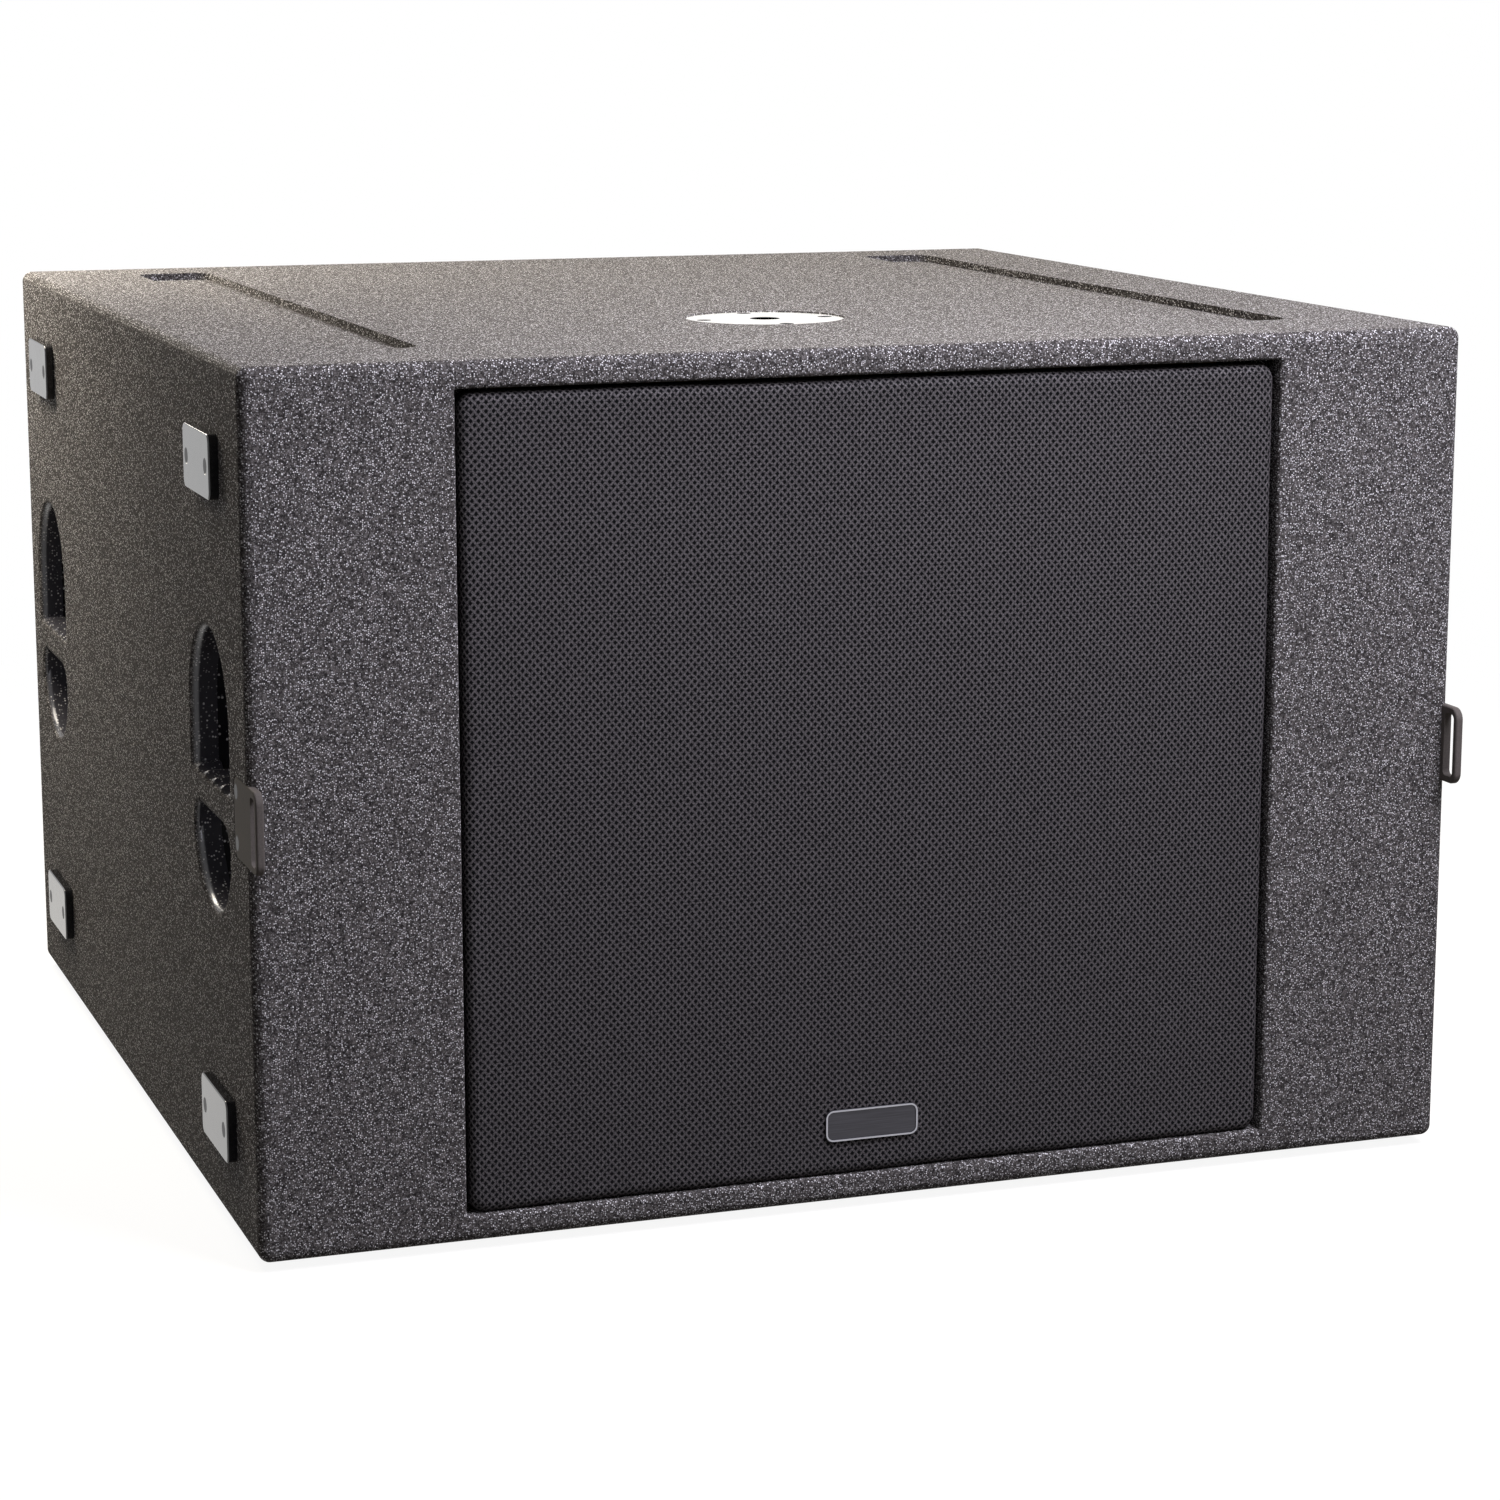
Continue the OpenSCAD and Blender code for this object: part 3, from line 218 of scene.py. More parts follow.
class ClothSettings(bpy.types.PropertyGroup):
    """Mesh cloth stretched over the grille."""

    thread: colour("Thread", "Colour of the threads", "#4b4848")
    # The hole colour is painted shade: the dark seen through the holes of the mesh.
    hole: colour("Hole", "Colour down in the holes", "#0a0a0b")
    pitch_across: length("Pitch across", "Distance between holes along a row", 4.1)
    pitch_up: length("Pitch up", "Distance between rows that line up", 4.7)
    dimple: length("Dimple", "Depth of a hole below the threads", 0.8)
    corner: length("Corner", "Corner radius of the grille", 9.0)
    roll: length("Roll", "Radius of the grille's front edge", 5.0)
    sway_across: length("Sway across", "How far the threads wander sideways", 0.25)
    sway_up: length("Sway up", "How far the threads wander up and down", 0.3)


class FittingSettings(bpy.types.PropertyGroup):
    """Skids, loops, flange, badge, connectors and screws."""

    skid: colour("Skid", "Colour of the nylon skids", "#131316")
    smear: length("Smear", "Width of a smear in the shine of the skids", 11.111)
    zinc: colour("Zinc", "Colour of zinc-plated steel", "#eeece8")
    cloud: length("Cloud", "Width of a cloudy patch in the zinc", 6.25)
    # The thread colour here is painted shade down in the pole hole.
    thread: colour("Thread", "Colour of the oiled threads in the pole hole", "#3a3836")
    bore_shade: length("Bore", "Width within which the threads lie", 17.5)
    loop: colour("Loop", "Colour of the keeper loops", "#5c5752")
    black_steel: colour("Black steel", "Colour of blackened screws and coated sheet", "#1d1d20")
    grey_steel: colour("Grey steel", "Colour of the flange's screws", "#403f3e")
    plastic: colour("Plastic", "Colour of the moulded black plastic", "#1b1b1e")
    badge: colour("Badge", "Colour of the blank badge plate", "#3a393d")
    badge_rim: colour("Badge rim", "Colour of the bright rim of the badge plate", "#a9a9ad")
    rim_rise: length("Rim rise", "Depth from the front that counts as the badge's rim", 0.25)
    brush_length: length("Brush length", "Length of a brush line on the badge", 16.667)
    brush_width: length("Brush width", "Width of a brush line on the badge", 0.33333)


class InsideSettings(bpy.types.PropertyGroup):
    """Bare boards and woofers."""

    plywood: colour("Plywood", "Colour of bare birch plywood", "#c9a878")
    vein_width: length("Vein width", "Width of a vein in the birch", 4.5455)
    vein_length: length("Vein length", "Length of a vein in the birch", 111.11)
    casting: colour("Casting", "Colour of the coated woofer frames", "#2f2f32")
    paper: colour("Paper", "Colour of the cones", "#262320")
    cloth: colour("Treated cloth", "Colour of the surrounds", "#1f1f20")
    amber: colour("Resin cloth", "Colour of the spiders", "#b5822f")
    copper: colour("Copper", "Colour of the windings", "#b87333")
    cork: colour("Cork", "Colour of the gaskets", "#8a6a45")
    ferrite: colour("Ferrite", "Colour of the magnets", "#35332f")


class FlexSettings(bpy.types.PropertyGroup):
    """How the surrounds and spiders are cut into segments."""

    segments: IntProperty(
        name="Segments", description="Segments of a ring, each of which bends along its own spoke",
        min=8, default=12,
    )
    surround_rim: length("Surround rim", "Radius outside which the frame holds the surround", 168.0)
    surround_neck: length("Surround neck", "Radius inside which the cone holds the surround", 150.0)
    spider_rim: length("Spider rim", "Radius outside which the frame holds the spider", 77.7)
    spider_neck: length("Spider neck", "Radius inside which the coil holds the spider", 56.5)
    crease: turn("Crease", "Angle between faces that shows as a sharp edge", 30.0)


class StageSettings(bpy.types.PropertyGroup):
    """Floor, light and camera."""

    floor: colour("Floor", "Colour of the floor", "#6f6d68")
    floor_side: length("Floor side", "Side of the floor", 40000.0)
    glow: share("Floor glow", "Brightness that the background adds to the floor", 0.91)
    white_from: length("White from", "Distance at which the floor starts to fade to white", 500.0)
    white_full: length("White full", "Distance at which the floor is all white", 1600.0)
    fill: share("Fill", "Strength of the even light", 0.05)
    fill_tint: colour("Fill tint", "Colour of the even light", "#fffbe6")
    front_power: power("Front power", "Power of the soft box in front", 38.0)
    front_place: place("Front place", "Place of the soft box in front", (0.45, -1.05, 1.4))
    front_tint: colour("Front tint", "Colour of the soft box in front", "#efeeff")
    rear_power: power("Rear power", "Power of the soft box behind", 31.0)
    rear_place: place("Rear place", "Place of the soft box behind", (0.6, 1.15, 1.4))
    rear_tint: colour("Rear tint", "Colour of the soft box behind", "#fff6e8")
    corner_power: power("Corner power", "Power of the soft box over the rear left corner", 6.5)
    corner_place: place(
        "Corner place", "Place of the soft box over the rear left corner", (-0.52, 0.45, 0.76),
    )
    eye_power: power("Eye power", "Power of the soft box beside the camera", 4.0)
    eye_place: place("Eye place", "Place of the soft box beside the camera", (-1.5, -2.0, 1.3))
    box_side: length("Soft box", "Side of a soft box", 800.0)
    corner_side: length("Corner soft box", "Side of the soft box over the corner", 350.0)
    eye_side: length("Small soft box", "Side of the soft box beside the camera", 200.0)
    camera: place("Camera", "Place of the camera", (-0.75396, -2.26115, 0.67763))
    azimuth: turn("Azimuth", "Camera's turn to the left of the front", 19.4493)
    elevation: turn("Elevation", "Camera's tilt down", 11.3781)
    lens: FloatProperty(
        name="Lens", description="Focal length on a sensor 36 mm wide",
        subtype="DISTANCE_CAMERA", unit="CAMERA", default=91.4658,
    )


class CABINET_OT_paint_boards(bpy.types.Operator):
    """Paints the boards and the handle cups"""

    bl_idname = "cabinet.paint_boards"
    bl_label = "Paint Boards"

    def painted_glints(self, tree, spot, spacing, amount):
        """One on small round dots that are painted glints: an amount of all grains, brighter or
        duller by chance.
        """
        single = add_node(
            tree, "ShaderNodeTexVoronoi", inputs={"Vector": spot, "Scale": 1.0 / spacing},
        )
        chance = add_node(
            tree, "ShaderNodeSeparateColor", inputs={"Color": single.outputs["Color"]},
        )
        rare = add_node(
            tree, "ShaderNodeMapRange",
            inputs={"Value": chance.outputs["Red"], "From Min": 1.0 - amount, "From Max": 1.0},
        )
        dot = add_node(
            tree, "ShaderNodeMapRange", {"interpolation_type": "SMOOTHSTEP"},
            {
                "Value": single.outputs["Distance"], "From Min": 0.2, "From Max": 0.48,
                "To Min": 1.0, "To Max": 0.0,
            },
        )
        return add_node(
            tree, "ShaderNodeMath", {"operation": "MULTIPLY"},
            {0: rare.outputs["Result"], 1: dot.outputs["Result"]},
        ).outputs[0]

    def hole_wall(self, tree, spot, look):
        """One on the walls of the hand holes, zero on the faces of the boards."""
        low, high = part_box("left_side_panel")
        split = add_node(tree, "ShaderNodeSeparateXYZ", inputs={"Vector": spot})
        out = add_node(
            tree, "ShaderNodeMath", {"operation": "ABSOLUTE"}, {0: split.outputs["X"]},
        ).outputs[0]
        deep = add_node(
            tree, "ShaderNodeMapRange", {"interpolation_type": "SMOOTHSTEP"},
            {
                "Value": out, "From Min": -low.x - look.wall_start,
                "From Max": -low.x - look.wall_full,
            },
        )
        within = add_node(
            tree, "ShaderNodeMath", {"operation": "GREATER_THAN"}, {0: out, 1: -high.x},
        )
        wall = add_node(
            tree, "ShaderNodeMath", {"operation": "MULTIPLY"},
            {0: deep.outputs["Result"], 1: within.outputs[0]},
        ).outputs[0]
        for axis, start, end in (("Y", low.y, high.y), ("Z", low.z, high.z)):
            inside = add_node(
                tree, "ShaderNodeMath", {"operation": "COMPARE"},
                {
                    0: split.outputs[axis], 1: (start + end) / 2,
                    2: (end - start) / 2 - look.board_edge,
                },
            )
            wall = add_node(
                tree, "ShaderNodeMath", {"operation": "MULTIPLY"}, {0: wall, 1: inside.outputs[0]},
            ).outputs[0]
        return wall

    def board_paint(self, look):
        # Rolled-on structure paint: hard grains stand up close together and catch the light one by
        # one.
        # The colour paints that light and shade: darker down between the grains, lighter on their
        # tops, with white painted glints. It runs smooth and wet-looking on the walls of the hand
        # holes, where its lighter colour is painted light. Single grains are too fine to show, so
        # clumps and glints are drawn at the size that does.
        material, tree, shader, spot = new_material(
            "textured_paint_on_plywood", IOR=1.03, Coat_IOR=1.5, Coat_Roughness=0.25,
        )
        rolled = add_node(
            tree, "ShaderNodeMapping", inputs={"Vector": spot, "Scale": (1.0, 0.6, 1.0)},
        ).outputs["Vector"]
        grain = add_node(
            tree, "ShaderNodeTexNoise",
            inputs={"Vector": rolled, "Scale": 1.0 / look.clump, "Detail": 3.0, "Roughness": 0.8},
        ).outputs["Fac"]
        # Painted light and shade of the grains: darker down between them, lighter on their tops,
        # following the bump's noise.
        grain_light_and_shade = add_node(
            tree, "ShaderNodeValToRGB", inputs={"Fac": grain},
            stops=[(0.38, look.pit_shade), (0.5, look.base), (0.64, look.fleck_light)],
        ).outputs["Color"]
        # Painted glints: white dots on a share of the grains.
        bright = self.painted_glints(tree, rolled, look.grain, amount=0.75)
        rough = add_node(
            tree, "ShaderNodeMix", {"data_type": "RGBA"},
            {"Factor": bright, UNDER: grain_light_and_shade, OVER: look.glint_highlight},
        ).outputs[MIXED]
        stray_painted_glints = self.painted_glints(tree, spot, 1.5 * look.grain, amount=0.35)
        # Painted light: the smooth wall paint is lighter than the same paint in the cups, with
        # painted glints here and there.
        lit_wall_paint = add_node(
            tree, "ShaderNodeMix", {"data_type": "RGBA"},
            {"Factor": stray_painted_glints, UNDER: look.wall, OVER: look.glint_highlight},
        ).outputs[MIXED]
        wall = self.hole_wall(tree, spot, look)
        paint = add_node(
            tree, "ShaderNodeMix", {"data_type": "RGBA"},
            {"Factor": wall, UNDER: rough, OVER: lit_wall_paint},
        ).outputs[MIXED]
        tree.links.new(paint, shader.inputs["Base Color"])
        tree.links.new(wall, shader.inputs["Coat Weight"])
        lift = add_node(
            tree, "ShaderNodeMapRange", inputs={"Value": wall, "To Min": 0.7, "To Max": 0.1},
        ).outputs["Result"]
        relief = add_node(
            tree, "ShaderNodeBump",
            inputs={"Height": grain, "Strength": lift, "Distance": 0.4 * look.clump},
        )
        tree.links.new(relief.outputs["Normal"], shader.inputs["Normal"])
        return material

    def cup_paint(self, look):
        # The same paint run smooth in the moulded cup: wet-looking black, with a white painted
        # glint here and there.
        material, tree, shader, spot = new_material("smooth_paint_on_cups", Roughness=0.2, IOR=1.5)
        stray_painted_glints = self.painted_glints(tree, spot, 2.0 * look.grain, amount=0.15)
        paint = add_node(
            tree, "ShaderNodeMix", {"data_type": "RGBA"},
            {"Factor": stray_painted_glints, UNDER: look.cup, OVER: look.glint_highlight},
        ).outputs[MIXED]
        tree.links.new(paint, shader.inputs["Base Color"])
        wave = add_node(
            tree, "ShaderNodeTexNoise",
            inputs={"Vector": spot, "Scale": 0.25 / look.clump, "Detail": 2.0},
        ).outputs["Fac"]
        relief = add_node(
            tree, "ShaderNodeBump",
            inputs={"Height": wave, "Strength": 0.25, "Distance": look.clump},
        )
        tree.links.new(relief.outputs["Normal"], shader.inputs["Normal"])
        return material

    def execute(self, context):
        look = context.scene.cabinet_paint
        dress(PAINTED_BOARDS, self.board_paint(look))
        dress(HANDLE_CUPS, self.cup_paint(look))
        return {"FINISHED"}


class CABINET_OT_cover_grille(bpy.types.Operator):
    """Stretches the mesh cloth over the grille"""

    bl_idname = "cabinet.cover_grille"
    bl_label = "Cover Grille"

    def cloth_material(self, look):
        # Coarse knitted polyester mesh: matt threads zigzag round holes, which are painted near
        # black as painted shade.
        material, tree, shader, spot = new_material(
            "polyester_mesh_cloth", Roughness=0.7, IOR=1.12,
        )
        hole = add_node(tree, "ShaderNodeAttribute", {"attribute_name": "hole"}).outputs["Fac"]
        fibre = add_node(
            tree, "ShaderNodeTexNoise",
            inputs={"Vector": spot, "Scale": 5.0 / look.pitch_across, "Detail": 2.0},
        ).outputs["Fac"]
        uneven = add_node(
            tree, "ShaderNodeMapRange",
            inputs={
                "Value": fibre, "From Min": 0.35, "From Max": 0.65, "To Min": 0.3, "To Max": 2.0,
            },
        ).outputs["Result"]
        thread = add_node(
            tree, "ShaderNodeMix", {"data_type": "RGBA", "blend_type": "MULTIPLY"},
            {"Factor": 1.0, UNDER: look.thread, OVER: uneven},
        ).outputs[MIXED]
        # Painted shade fills the holes and fades out towards the threads.
        depth = add_node(
            tree, "ShaderNodeValToRGB", inputs={"Fac": hole}, stops=[(0.28, BLACK), (0.5, WHITE)],
        ).outputs["Color"]
        knit = add_node(
            tree, "ShaderNodeMix", {"data_type": "RGBA"},
            {"Factor": depth, UNDER: thread, OVER: look.hole},
        ).outputs[MIXED]
        tree.links.new(knit, shader.inputs["Base Color"])
        relief = add_node(
            tree, "ShaderNodeBump",
            inputs={"Height": fibre, "Strength": 0.4, "Distance": 0.3 * MM},
        )
        tree.links.new(relief.outputs["Normal"], shader.inputs["Normal"])
        return material

    def sway(self, look, across, up):
        """How far the threads wander from straight, in slow waves that bend each other."""
        sideways = math.sin(across / (13.0 * MM) + 2.0 * math.sin(up / (41.0 * MM)))
        upwards = math.sin(up / (17.0 * MM) + 2.0 * math.sin(across / (35.0 * MM)))
        return look.sway_across * sideways, look.sway_up * upwards

    def knit(self, mesh, holes):
        """Cuts each square of the mesh in two, along the diagonal from thread to thread."""
        bpy.ops.object.mode_set(mode="EDIT")
        bpy.ops.mesh.select_mode(type="FACE")
        for method, first_is_hole in (("FIXED", False), ("FIXED_ALTERNATE", True)):
            bpy.ops.mesh.select_all(action="DESELECT")
            bpy.ops.object.mode_set(mode="OBJECT")
            for face in mesh.polygons:
                face.select = (
                    len(face.vertices) == 4 and holes[face.vertices[0]] == first_is_hole
                )
            bpy.ops.object.mode_set(mode="EDIT")
            bpy.ops.mesh.quads_convert_to_tris(quad_method=method, ngon_method="BEAUTY")
        bpy.ops.object.mode_set(mode="OBJECT")

    def trim(self, mesh, past_edge):
        """Cuts off the corners of the sheet that reach past the grille's rear edge."""
        bpy.ops.object.mode_set(mode="EDIT")
        bpy.ops.mesh.select_mode(type="VERT")
        bpy.ops.mesh.select_all(action="DESELECT")
        bpy.ops.object.mode_set(mode="OBJECT")
        for vert in mesh.vertices:
            vert.select = vert.index in past_edge
        bpy.ops.object.mode_set(mode="EDIT")
        bpy.ops.mesh.delete(type="VERT")
        bpy.ops.object.mode_set(mode="OBJECT")

    def execute(self, context):
        look = context.scene.cabinet_cloth
        low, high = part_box("grille_cloth")
        middle = (low + high) / 2
        half_w, half_h, depth = (high.x - low.x) / 2, (high.z - low.z) / 2, high.y - low.y
        flat_part = look.corner - look.roll
        arc = look.roll * math.pi / 2
        skirt = depth - look.roll
        wrap = arc + skirt - look.roll
        step_x, step_z = look.pitch_across / 2, look.pitch_up / 2
        cols = round(2 * (half_w + wrap) / step_x)
        rows = round(2 * (half_h + wrap) / step_z)
        cut_w, cut_h = cols * step_x, rows * step_z

        bpy.ops.object.select_all(action="DESELECT")
        bpy.ops.mesh.primitive_grid_add(x_subdivisions=cols, y_subdivisions=rows, size=1.0)
        cloth = context.object
        cloth.name = "mesh_cloth"
        mesh = cloth.data
        hole_marks = mesh.attributes.new("hole", "FLOAT", "POINT")
        holes, past_edge = [], set()
        for vert in mesh.vertices:
            across, up = vert.co.x * cut_w, vert.co.y * cut_h
            col, row = round((vert.co.x + 0.5) * cols), round((vert.co.y + 0.5) * rows)
            is_hole = (col + row) % 2 == 0
            holes.append(is_hole)
            hole_marks.data[vert.index].value = float(is_hole)
            core_x = max(-half_w + look.corner, min(half_w - look.corner, across))
            core_z = max(-half_h + look.corner, min(half_h - look.corner, up))
            out = Vector((across - core_x, up - core_z))
            reach = out.length
            way = out / reach if reach > TINY else Vector((0.0, 0.0))
            turned = max(0.0, reach - flat_part)
            angle = min(turned, arc) / look.roll
            straight = max(0.0, turned - arc)
            if straight > skirt + TINY:
                past_edge.add(vert.index)
            sunk = look.dimple if is_hole else 0.0
            radial = min(reach, flat_part) + (look.roll - sunk) * math.sin(angle)
            back = look.roll * (1 - math.cos(angle)) + straight + sunk * math.cos(angle)
            sway_x, sway_z = self.sway(look, across, up)
            vert.co = (
                middle.x + core_x + way.x * radial + sway_x,
                low.y + back,
                middle.z + core_z + way.y * radial + sway_z,
            )
        self.knit(mesh, holes)
        self.trim(mesh, past_edge)
        bpy.ops.object.shade_smooth()
        mesh.materials.append(self.cloth_material(look))
        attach(cloth, "cabinet")
        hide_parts("grille_cloth")
        return {"FINISHED"}


class CABINET_OT_finish_fittings(bpy.types.Operator):
    """Finishes the skids, loops, flange, badge, connectors and screws"""

    bl_idname = "cabinet.finish_fittings"
    bl_label = "Finish Fittings"

    def gloss_nylon(self, look):
        # Moulded nylon with a polished face: black, with a clear mirror at low angles.
        material, tree, shader, spot = new_material(
            "moulded_nylon", Base_Color=look.skid, IOR=1.55,
        )
        smear = add_node(
            tree, "ShaderNodeTexNoise",
            inputs={"Vector": spot, "Scale": 1.0 / look.smear, "Detail": 3.0},
        ).outputs["Fac"]
        rough = add_node(
            tree, "ShaderNodeMapRange", inputs={"Value": smear, "To Min": 0.06, "To Max": 0.18},
        )
        tree.links.new(rough.outputs["Result"], shader.inputs["Roughness"])
        return material

    def zinc_steel(self, look):
        # Turned steel with a bright zinc coat: silvery, softly blurred, with faint cloudy patches.
        # The threads in the pole hole are painted dark as painted shade.
        material, tree, shader, spot = new_material("zinc_plated_steel", Metallic=1.0)
        cloud = add_node(
            tree, "ShaderNodeTexNoise",
            inputs={"Vector": spot, "Scale": 1.0 / look.cloud, "Detail": 4.0},
        ).outputs["Fac"]
        zinc = add_node(
            tree, "ShaderNodeValToRGB", inputs={"Fac": cloud},
            stops=[(0.35, shade(look.zinc, 0.86)), (0.65, look.zinc)],
        ).outputs["Color"]
        low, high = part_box("pole_flange")
        axis = (low + high) / 2
        level = add_node(
            tree, "ShaderNodeVectorMath", {"operation": "MULTIPLY"}, {0: spot, 1: (1.0, 1.0, 0.0)},
        )
        reach = add_node(
            tree, "ShaderNodeVectorMath", {"operation": "DISTANCE"},
            {0: level.outputs["Vector"], 1: (axis.x, axis.y, 0.0)},
        )
        # Painted shade within the bore of the pole hole.
        bore_shade = add_node(
            tree, "ShaderNodeMath", {"operation": "LESS_THAN"},
            {0: reach.outputs["Value"], 1: look.bore_shade / 2},
        )
        steel = add_node(
            tree, "ShaderNodeMix", {"data_type": "RGBA"},
            {"Factor": bore_shade.outputs[0], UNDER: zinc, OVER: look.thread},
        ).outputs[MIXED]
        tree.links.new(steel, shader.inputs["Base Color"])
        rough = add_node(
            tree, "ShaderNodeMapRange", inputs={"Value": cloud, "To Min": 0.1, "To Max": 0.18},
        )
        tree.links.new(rough.outputs["Result"], shader.inputs["Roughness"])
        return material

    def coated(self, name, rgba, roughness, grit, strength, ior=1.5, gloss=0.5):
        # Thin even coat: one colour with an orange peel in its shine. The real peel is too fine to
        # show, so it is drawn coarser.
        material, tree, shader, spot = new_material(name, IOR=ior, Specular_IOR_Level=gloss)
        peel = add_node(
            tree, "ShaderNodeTexNoise",
            inputs={"Vector": spot, "Scale": 1.0 / grit, "Detail": 2.0},
        ).outputs["Fac"]
        coat = add_node(
            tree, "ShaderNodeValToRGB", inputs={"Fac": peel},
            stops=[(0.3, shade(rgba, 0.85)), (0.7, shade(rgba, 1.12))],
        ).outputs["Color"]
        tree.links.new(coat, shader.inputs["Base Color"])
        rough = add_node(
            tree, "ShaderNodeMapRange",
            inputs={"Value": peel, "To Min": roughness - 0.06, "To Max": roughness + 0.06},
        )
        tree.links.new(rough.outputs["Result"], shader.inputs["Roughness"])
        relief = add_node(
            tree, "ShaderNodeBump",
            inputs={"Height": peel, "Strength": strength, "Distance": 0.1 * grit},
        )
        tree.links.new(relief.outputs["Normal"], shader.inputs["Normal"])
        return material

    def badge_plate(self, look):
        # Anodised plate, brushed across, with a bright rim that stands up round it. Real brush
        # lines are too fine to show, so these are drawn coarser.
        material, tree, shader, spot = new_material("anodised_badge_plate", Metallic=0.6)
        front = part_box("badge_plate")[0].y
        split = add_node(tree, "ShaderNodeSeparateXYZ", inputs={"Vector": spot})
        rim = add_node(
            tree, "ShaderNodeMath", {"operation": "LESS_THAN"},
            {0: split.outputs["Y"], 1: front + look.rim_rise},
        )
        along, across = 1.0 / look.brush_length, 1.0 / look.brush_width
        stretch = add_node(
            tree, "ShaderNodeMapping", inputs={"Vector": spot, "Scale": (along, along, across)},
        )
        brush = add_node(
            tree, "ShaderNodeTexNoise",
            inputs={"Vector": stretch.outputs["Vector"], "Scale": 1.0},
        ).outputs["Fac"]
        plate = add_node(
            tree, "ShaderNodeValToRGB", inputs={"Fac": brush},
            stops=[(0.3, shade(look.badge, 0.8)), (0.7, shade(look.badge, 1.25))],
        ).outputs["Color"]
        rimmed = add_node(
            tree, "ShaderNodeMix", {"data_type": "RGBA"},
            {"Factor": rim.outputs[0], UNDER: plate, OVER: look.badge_rim},
        ).outputs[MIXED]
        tree.links.new(rimmed, shader.inputs["Base Color"])
        rough = add_node(
            tree, "ShaderNodeMapRange", inputs={"Value": brush, "To Min": 0.35, "To Max": 0.5},
        )
        tree.links.new(rough.outputs["Result"], shader.inputs["Roughness"])
        return material

    def execute(self, context):
        look = context.scene.cabinet_fittings
        dress(["side_skids", "bottom_skids"], self.gloss_nylon(look))
        dress(["pole_flange"] + each_side("front_plate", "back_plate"), self.zinc_steel(look))
        dress(
            each_side("keeper_loop"),
            self.coated(
                "powder_coated_steel", look.loop, roughness=0.42, grit=0.8 * MM,
                strength=0.15, ior=1.04,
            ),
        )
        dress(
            ["skid_screws", "keeper_loop_screws", "connector_screws"] + each_side("woofer_screws"),
            self.coated(
                "black_lacquered_steel", look.black_steel, roughness=0.4, grit=0.6 * MM,
                strength=0.1, ior=1.2,
            ),
        )
        dress(
            ["pole_flange_screws"],
            self.coated(
                "grey_phosphated_steel", look.grey_steel, roughness=0.6, grit=0.6 * MM,
                strength=0.1, gloss=0.0,
            ),
        )
        dress(
            ["grille", "connector_plate"],
            self.coated(
                "black_coated_sheet", look.black_steel, roughness=0.5, grit=0.9 * MM,
                strength=0.2,
            ),
        )
        dress(
            ["grille_pegs", "speaker_sockets", "speaker_socket_cores"] + each_side("terminals"),
            self.coated(
                "moulded_black_plastic", look.plastic, roughness=0.4, grit=1.2 * MM,
                strength=0.1,
            ),
        )
        dress(["badge_plate"], self.badge_plate(look))
        return {"FINISHED"}


